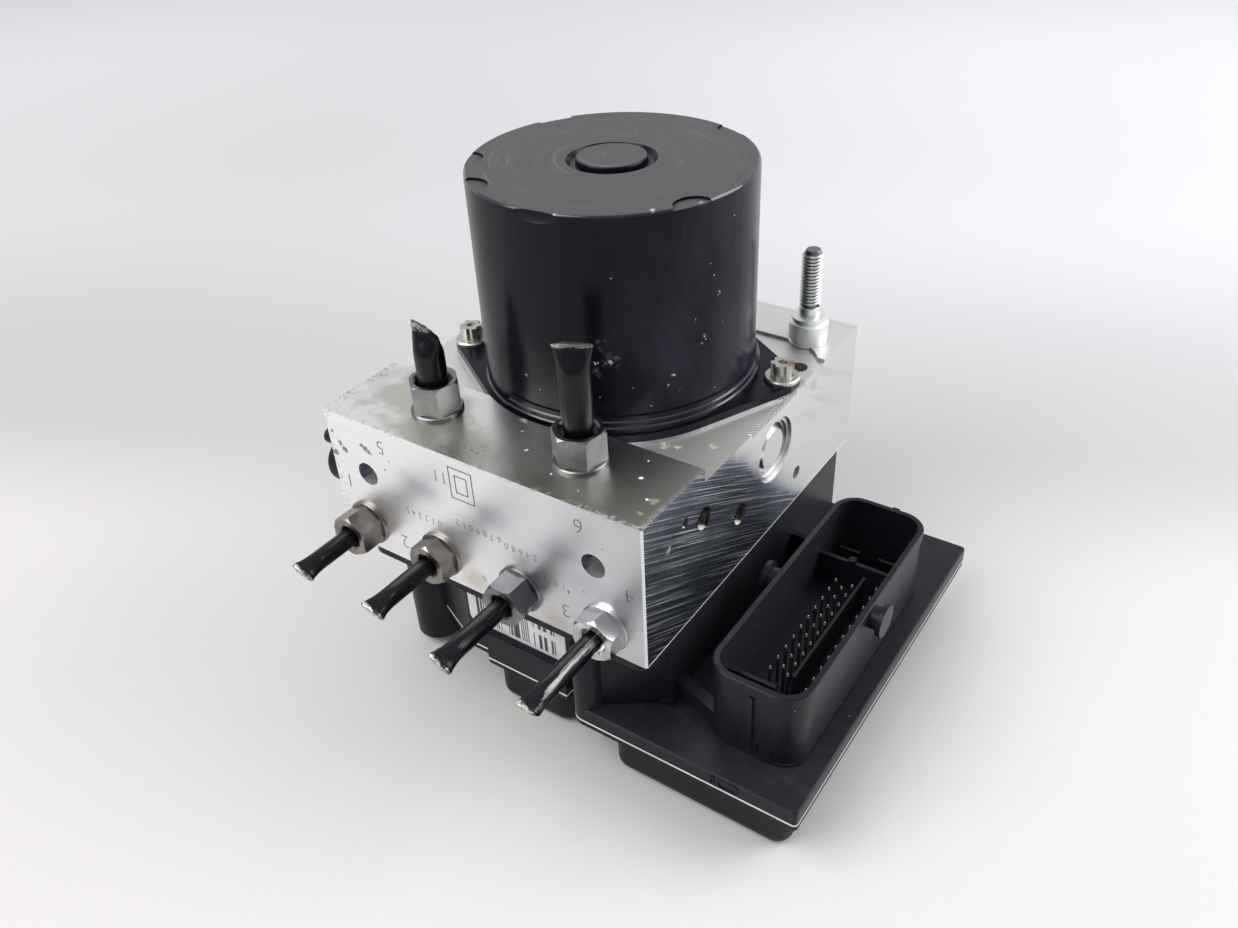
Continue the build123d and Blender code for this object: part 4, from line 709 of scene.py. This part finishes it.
# Painted reflection: lighter, bluish clouded bands on the can's two flanks, where it faces the bright
# floor.
right_flank = lacquer.step(x * 0.99 - y * 0.11, 18.0 * mm, 33.0 * mm)
left_flank = lacquer.step(x * -0.95 - y * 0.31, 26.0 * mm, 35.0 * mm)
flank_reflection = lacquer.step(lacquer.drawn(60.0, 60.0, 28.0, 4.0, 0.6), 0.36, 0.66)
flank_reflection = flank_reflection * (right_flank + left_flank * 0.5)
bare_rim = lacquer.step(z, flange_foot + 0.95 * mm, flange_foot + 0.75 * mm)
tone = lacquer.tint(clouds, (0.0028, 0.0027, 0.0058), (0.0062, 0.0058, 0.0125))
tone = lacquer.tint(flank_reflection * (1 - on_top) * 0.7, tone, (0.026, 0.025, 0.042))
tone = lacquer.tint(rubbed * (0.55 + turning * 0.5), tone, (0.098, 0.096, 0.096))
tone = lacquer.tint(scuffs * 0.35, tone, (0.16, 0.16, 0.16))
tone = lacquer.tint(smear * 0.5, tone, (0.14, 0.14, 0.15))
tone = lacquer.tint(lacquer.either(chips, rim_chips, dust * 0.8), tone, (0.62, 0.62, 0.62))
tone = lacquer.tint(bare_rim, tone, (0.34, 0.36, 0.39))
rough = 0.20 + clouds * 0.08 + rubbed * (0.26 + turning * 0.14) + smear * 0.15 + chips * 0.3
rounded = lacquer.step(facing_z, 0.10, 0.30) * lacquer.step(facing_z, 0.97, 0.85) * (radius > 30.0 * mm)
peel = lacquer.noise(lacquer.place, 320.0, 2.0)
lacquer.paint(Base_Color=tone, Roughness=rough, Coat_Weight=rounded, Metallic=bare_rim,
              Normal=lacquer.bump(peel * 0.5 + turning * rubbed - chips * 2.0, 0.05 * mm, 0.35))
lacquer.on("motor_can", "motor_flange")


# Flange screws: six-lobed washer screws that hold the flange to the block, zinc-plated with an olive
# bloom. Water stood in the lobes of the right one and rusted it.
passivated = Finish("olive_zinc", Metallic=1.0)
x, y, z = passivated.parts(passivated.place)
bloom = passivated.noise(passivated.place, 420.0, 4.0, 0.6)
rusty = passivated.patch(passivated.warp(passivated.place, 500.0, 0.002), ((45.5, 13.0, 88.0, 2.2),), 0.2)
tone = passivated.tint(bloom, (0.36, 0.36, 0.31), (0.70, 0.69, 0.62))
passivated.paint(Base_Color=passivated.tint(rusty * 0.8, tone, (0.30, 0.15, 0.06)),
                 Roughness=0.30 + bloom * 0.2, Normal=passivated.bump(bloom, 0.03 * mm, 0.5))
passivated.on("flange_screws")


# Mounting stud: turned and rolled steel, zinc-plated, screwed into the rear corner of the block.
# Its rolled thread is a ridge wound round the shank, with its roots painted dark as shade, and its collar
# has two turned grooves.
stud_low, stud_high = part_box("mounting_stud")
stud_x = (stud_low.x + stud_high.x) / 2
stud_y = (stud_low.y + stud_high.y) / 2
pitch = 1.0 * mm
crest = 3.0 * mm
root = crest - 0.61 * pitch
collar_top = rear_z + 8.6 * mm
thread_start = collar_top + 2.6 * mm
collar_profile = ((-0.1, 2.9), (0.0, 5.2), (0.4, 5.55), (1.0, 5.55), (1.2, 5.2), (1.6, 5.2),
                  (1.8, 5.6), (6.5, 5.6), (6.9, 5.2), (7.1, 4.7), (7.5, 4.7), (7.7, 5.0), (8.4, 5.0),
                  (8.6, 4.6), (8.7, 2.95))
stud_zinc = Finish("stud_zinc", Metallic=1.0)
bloom = stud_zinc.noise(stud_zinc.place, 250.0, 4.0, 0.6)
rings = stud_zinc.drawn(40.0, 40.0, 3000.0, 2.0)
x, y, z = stud_zinc.parts(stud_zinc.place)
out = ((x - stud_x) * (x - stud_x) + (y - stud_y) * (y - stud_y)) ** 0.5
# Painted shade in the roots between the thread's crests.
root_shade = stud_zinc.step(out, 2.85 * mm, 2.50 * mm) * (z > collar_top + 0.2 * mm)
tone = stud_zinc.tint(bloom * 0.7 + rings * 0.3, (0.70, 0.73, 0.71), (0.97, 0.99, 0.97))
stud_zinc.paint(Base_Color=stud_zinc.tint(root_shade * 0.85, tone, (0.10, 0.10, 0.09)),
                Roughness=0.34 + bloom * 0.16, Normal=stud_zinc.bump(rings, 0.02 * mm, 0.4))
turned = [(stud_low.z + 0.5 * mm, 2.9 * mm)]
turned += [(rear_z + rise * mm, radius * mm) for rise, radius in collar_profile]
turned += [(thread_start, 2.95 * mm), (thread_start + 0.3 * mm, root), (stud_high.z - 0.9 * mm, root),
           (stud_high.z, 1.9 * mm)]
shank = drawn_up("stud_shank", [(height, radius, radius) for height, radius in turned], 64)
close_up(shank, 30.0)
settle(shank, Matrix.Translation((stud_x, stud_y, 0.0)), stud_zinc)
bpy.ops.object.select_all(action="DESELECT")
bpy.ops.mesh.primitive_plane_add(size=2.0, location=(0.0, 0.0, 0.0))
thread = bpy.context.object
thread.name = "stud_thread"
bpy.ops.object.mode_set(mode="EDIT")
bpy.ops.mesh.delete(type="ONLY_FACE")
bpy.ops.object.mode_set(mode="OBJECT")
ridge = ((root - 0.05 * mm, -0.50 * pitch), (crest, -0.10 * pitch),
         (crest, 0.10 * pitch), (root - 0.05 * mm, 0.50 * pitch))
for corner, (reach, rise) in zip((0, 1, 3, 2), ridge):
    thread.data.vertices[corner].co = (reach, 0.0, thread_start + 0.6 * pitch + rise)
winding = thread.modifiers.new("winding", "SCREW")
winding.screw_offset = pitch
winding.iterations = int((stud_high.z - thread_start - 1.0 * mm) / pitch)
winding.steps = 40
winding.render_steps = 40
winding.use_merge_vertices = True
winding.merge_threshold = 1e-6
bpy.ops.object.modifier_apply(modifier=winding.name)
bpy.ops.object.mode_set(mode="EDIT")
close_up(thread, 60.0)
settle(thread, Matrix.Translation((stud_x, stud_y, 0.0)), stud_zinc)
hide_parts("mounting_stud")
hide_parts("mounting_stud")


# Pump plugs and sealing balls: a turned plug pressed into each pump bore, and hard steel balls
# driven into the drilled channels. Brake fluid left a brown ring beside the plug.
turned_alloy = Finish("turned_plug", Metallic=1.0)
x, y, z = turned_alloy.parts(turned_alloy.place)
plug_low, plug_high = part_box("pump_plugs")
plug_y = y - (plug_low.y + plug_high.y) / 2
plug_z = z - (plug_low.z + plug_high.z) / 2
radius = (plug_y * plug_y + plug_z * plug_z) ** 0.5
rings = turned_alloy.noise(turned_alloy.at(radius * 3200.0, 0.0, 0.0), 1.0, 2.0)
stain = turned_alloy.step(radius, 5.2 * mm, 7.0 * mm) * turned_alloy.step(plug_y, -1.0 * mm, 3.0 * mm)
stain = stain * turned_alloy.step(turned_alloy.noise(turned_alloy.place, 300.0, 3.0), 0.35, 0.6)
tone = turned_alloy.tint(rings, (0.66, 0.66, 0.67), (0.88, 0.88, 0.88))
turned_alloy.paint(Base_Color=turned_alloy.tint(stain * 0.7, tone, (0.32, 0.20, 0.12)),
                   Roughness=0.20 + rings * 0.12, Normal=turned_alloy.bump(rings, 0.02 * mm, 0.5))
turned_alloy.on("pump_plugs")
ball_steel = Finish("ball_steel", Metallic=1.0)
haze = ball_steel.noise(ball_steel.place, 380.0, 3.0)
ball_steel.paint(Base_Color=ball_steel.tint(haze, (0.30, 0.28, 0.25), (0.90, 0.88, 0.84)),
                 Roughness=0.12 + haze * 0.10)
ball_steel.on("sealing_balls")


# Side caps, control unit housing and lid: glass-filled black plastic, moulded in one tone with a
# faint grain. Up-facing faces hold a little dust and are painted paler as lit, faces towards +X carry a
# painted bluish highlight, and the lid is a shade smoother.
def moulded(name, low_tone, high_tone, roughness, grain, dusty_and_lit_below=1.0):
    """Moulded plastic; only up-facing faces below the given height are dusty and painted paler on top as
    lit, and faces towards +X get a painted highlight.
    """
    plastic = Finish(name, Specular_IOR_Level=0.17)
    facing_x, facing_y, facing_z = plastic.facing()
    height = plastic.parts(plastic.place)[2]
    clouds = plastic.noise(plastic.place, 42.0, 4.0, 0.6)
    grit = plastic.noise(plastic.place, grain, 2.0)
    flow = plastic.drawn(120.0, 260.0, 60.0)
    upward = plastic.step(facing_z, 0.6, 1.0) * (height < dusty_and_lit_below)
    sideways = plastic.step(facing_x, 0.5, 1.0)
    dust = upward * plastic.step(plastic.noise(plastic.place, 170.0, 4.0, 0.7), 0.50, 0.80)
    specks = plastic.node("TexVoronoi", None, {"Vector": plastic.place, "Scale": 300.0}, "Distance")
    lint = plastic.step(plastic.noise(plastic.place, 90.0, 0.0), 0.62, 0.68)
    lint = lint * plastic.step(specks, 0.06, 0.03)
    tone = plastic.tint(clouds, low_tone, high_tone)
    # Painted light: up-facing faces paler, faces towards +X with a bluish painted highlight.
    tone = plastic.tint(upward * 0.6, tone, (0.022, 0.021, 0.026))
    tone = plastic.tint(sideways * 0.6, tone, (0.030, 0.029, 0.036))
    tone = plastic.tint(dust * 0.5, tone, (0.045, 0.045, 0.048))
    plastic.paint(Base_Color=plastic.tint(lint * 0.8, tone, (0.45, 0.45, 0.45)),
                  Roughness=roughness + flow * 0.12 + dust * 0.15,
                  Normal=plastic.bump(grit + flow, 0.04 * mm, 0.35))
    return plastic


lid_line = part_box("lid_seal")[1].z
wing_top = lid_line + 4.2 * mm
housing_plastic = moulded("housing_plastic", (0.007, 0.007, 0.011), (0.014, 0.014, 0.020), 0.28, 1400.0,
                          wing_top + 0.6 * mm)
housing_plastic.on("ecu_housing")
lid_plastic = moulded("lid_plastic", (0.008, 0.008, 0.011), (0.015, 0.015, 0.019), 0.34, 1200.0)
lid_plastic.on("lid")
cap_plastic = moulded("cap_plastic", (0.007, 0.007, 0.009), (0.014, 0.014, 0.017), 0.40, 1600.0)
cap_plastic.on("side_cap_large", "side_cap_small")


# Moulded marks: a raised square frame and a short rib on the wing's front edge, and a row of plain
# figures at the foot of the plug's front wall, where the mould had its inserts.
housing_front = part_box("ecu_housing")[0].y
plug_front = -54.6 * mm
mark_rise = 0.32 * mm
for name, across_x, width, height, corner in (("mould_frame", 71.5, 5.4, 3.0, 0.8),
                                              ("mould_rib", 67.2, 1.2, 2.6, 0.4)):
    mark = outline(name, width * mm, height * mm, 0.32 * mm, mark_rise, corner * mm)
    place = Matrix.Translation((across_x * mm, housing_front, wing_top - 2.1 * mm))
    settle(mark, place @ upright, housing_plastic)
mould_figures = lettering("mould_figures", "2 41 3", 3.4 * mm, mark_rise, spacing=1.25)
place = Matrix.Translation((72.5 * mm, plug_front, wing_top + 2.9 * mm))
settle(mould_figures, place @ upright, housing_plastic)


# Sealing bead: pale silicone laid between the housing and the lid, squeezed out into a thin wavering
# line as the lid was pressed on, and cured there.
silicone = Finish("silicone_bead")
waver = silicone.noise(silicone.place, 180.0, 3.0)
silicone.paint(Base_Color=silicone.tint(waver, (0.52, 0.52, 0.53), (0.86, 0.86, 0.86)),
               Roughness=0.32 + waver * 0.2, Normal=silicone.bump(waver, 0.05 * mm, 0.5))
silicone.on("lid_seal")


# Label: white coated paper on the front wall, printed with plain bars of several widths and no
# words, in two blocks, with a clear strip across the right one.
bars_per_metre = 2900.0
label_low, label_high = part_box("label")
paper = Finish("label_paper")
x, y, z = paper.parts(paper.place)
count = x * bars_per_metre
bar = paper.node("TexWhiteNoise", {"noise_dimensions": "1D"}, {"W": count.math("FLOOR", count)})
left_block = (x > label_low.x + 2.5 * mm) * (x < label_low.x + 11.5 * mm)
right_block = (x > label_low.x + 13.5 * mm) * (x < label_high.x - 3.2 * mm)
tall = (z > label_low.z + 1.2 * mm) * (z < label_high.z - 1.0 * mm)
clear_strip = (z > label_low.z + 6.2 * mm) * (z < label_low.z + 8.2 * mm) * (x > label_high.x - 12.0 * mm)
bars = (bar > 0.48) * paper.either(left_block, right_block) * tall * (1 - clear_strip)
fibre = paper.noise(paper.place, 500.0, 4.0, 0.6)
yellowed = paper.noise(paper.place, 70.0, 3.0)
tone = paper.tint(yellowed, (0.80, 0.81, 0.82), (0.70, 0.71, 0.70))
paper.paint(Base_Color=paper.tint(bars * 0.95, tone, (0.030, 0.030, 0.032)),
            Roughness=0.42 + fibre * 0.12 + bars * 0.1, Normal=paper.bump(fibre, 0.02 * mm, 0.3))
paper.on("label")


# Plug pins and blades: tinned bronze, stamped and pressed through the plug's floor. The pins' points
# are bright, and the stems below them and the blades are painted dark as the shade deep in the plug.
tinned = Finish("tinned_bronze", Specular_IOR_Level=0.17)
height = tinned.parts(tinned.place)[2]
pin_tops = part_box("connector_pins")[1].z
smooth = tinned.noise(tinned.place, 900.0, 3.0)
point = tinned.step(height, pin_tops - 0.75 * mm, pin_tops - 0.45 * mm)
# Painted shade: the stems are as dark as the depths of the plug.
tone = tinned.tint(smooth, (0.012, 0.012, 0.015), (0.026, 0.025, 0.028))
tinned.paint(Base_Color=tinned.tint(point, tone, (0.97, 0.96, 0.94)), Metallic=point,
             Roughness=0.34 + smooth * 0.18, Normal=tinned.bump(smooth, 0.02 * mm, 0.3))
tinned.on("connector_pins")
# Painted shade: the blades are as dark as the depths of the plug.
well_shade = Finish("well_shade_bronze", Metallic=1.0)
smooth = well_shade.drawn(300.0, 300.0, 1500.0)
well_shade.paint(Base_Color=well_shade.tint(smooth, (0.05, 0.048, 0.045), (0.14, 0.13, 0.12)),
             Roughness=0.34 + smooth * 0.18, Normal=well_shade.bump(smooth, 0.02 * mm, 0.3))
well_shade.on("power_blades")


# Circuit board and its packages, inside the housing: green solder mask over copper tracks that run
# in two directions, and matt black packages with fine grain. The coils have the same moulded resin.
solder_mask = Finish("solder_mask")


def lanes(x_scale, y_scale):
    """A random value for each long cell of the board, as its tracks lie."""
    cell = solder_mask.stretch(solder_mask.place, x_scale, y_scale, 0.0)
    cell = solder_mask.node("VectorMath", {"operation": "FLOOR"}, {0: cell})
    return solder_mask.node("TexWhiteNoise", {"noise_dimensions": "2D"}, {"Vector": cell})


tracks = solder_mask.either(lanes(60.0, 900.0) > 0.62, lanes(900.0, 70.0) > 0.82)
sheen = solder_mask.noise(solder_mask.place, 300.0, 3.0)
solder_mask.paint(Base_Color=solder_mask.tint(tracks, (0.010, 0.075, 0.032), (0.022, 0.14, 0.060)),
                  Roughness=0.26 + sheen * 0.12,
                  Normal=solder_mask.bump(tracks + sheen * 0.3, 0.03 * mm, 0.5))
solder_mask.on("circuit_board")
package_resin = moulded("package_resin", (0.010, 0.010, 0.011), (0.020, 0.020, 0.021), 0.5, 2200.0)
package_resin.on("board_chips", "valve_coils", "brush_holder", "lead_sleeve")


# Machined metal inside the block and the motor: ground shaft, bearings and pump pistons, turned
# cartridges, sleeves and caps, anodised accumulator pistons, and the rotor's laminated core.
def machined(name, low_tone, high_tone, roughness, ring_scale, *on_nodes):
    """Metal with the fine rings that the tool left, ring_scale of them to the metre."""
    steel = Finish(name, Metallic=1.0)
    rings = steel.drawn(30.0, 30.0, ring_scale)
    film = steel.noise(steel.place, 160.0, 3.0)
    steel.paint(Base_Color=steel.tint(rings * 0.5 + film * 0.5, low_tone, high_tone),
                Roughness=roughness + film * 0.15, Normal=steel.bump(rings, 0.015 * mm, 0.4))
    steel.on(*on_nodes)


machined("ground_steel", (0.46, 0.46, 0.48), (0.74, 0.74, 0.76), 0.18, 2400.0,
         "rotor_shaft", "cam_ring", "top_bearing", "base_bearing", "pump_piston_right", "pump_piston_left")
machined("turned_steel", (0.40, 0.40, 0.41), (0.66, 0.66, 0.67), 0.28, 1500.0,
         "pump_cylinders", "valve_cartridges", "pressure_sensor", "accumulator_caps", "unit_screws")
machined("anodised_alloy", (0.50, 0.51, 0.53), (0.74, 0.75, 0.77), 0.34, 900.0,
         "accumulator_piston_left", "accumulator_piston_right")
machined("laminated_iron", (0.20, 0.20, 0.21), (0.44, 0.44, 0.45), 0.42, 2000.0, "rotor_core")


# Motor's other insides: enamelled copper windings, a copper commutator and leads, sintered ferrite
# magnets, and carbon brushes.
enamel = Finish("enamelled_copper", Metallic=0.9)
strands = enamel.node("TexWave", {"wave_type": "BANDS", "bands_direction": "DIAGONAL"},
                      {"Vector": enamel.place, "Scale": 900.0, "Distortion": 2.5, "Detail": 2.0})
enamel.paint(Base_Color=enamel.tint(strands, (0.28, 0.09, 0.035), (0.72, 0.30, 0.13)),
             Roughness=0.26 + strands * 0.15, Normal=enamel.bump(strands, 0.12 * mm, 0.8))
enamel.on("rotor_windings")
copper = Finish("worn_copper", Metallic=1.0)
track = copper.drawn(30.0, 30.0, 2600.0)
copper.paint(Base_Color=copper.tint(track, (0.48, 0.22, 0.12), (0.86, 0.50, 0.34)),
             Roughness=0.24 + track * 0.2, Normal=copper.bump(track, 0.02 * mm, 0.5))
copper.on("commutator", "motor_leads")
ferrite = Finish("sintered_ferrite")
pores = ferrite.noise(ferrite.place, 1300.0, 4.0, 0.7)
ferrite.paint(Base_Color=ferrite.tint(pores, (0.045, 0.045, 0.048), (0.12, 0.12, 0.125)),
              Roughness=0.62 + pores * 0.2, Normal=ferrite.bump(pores, 0.05 * mm, 0.6))
ferrite.on("motor_magnets", "brushes")
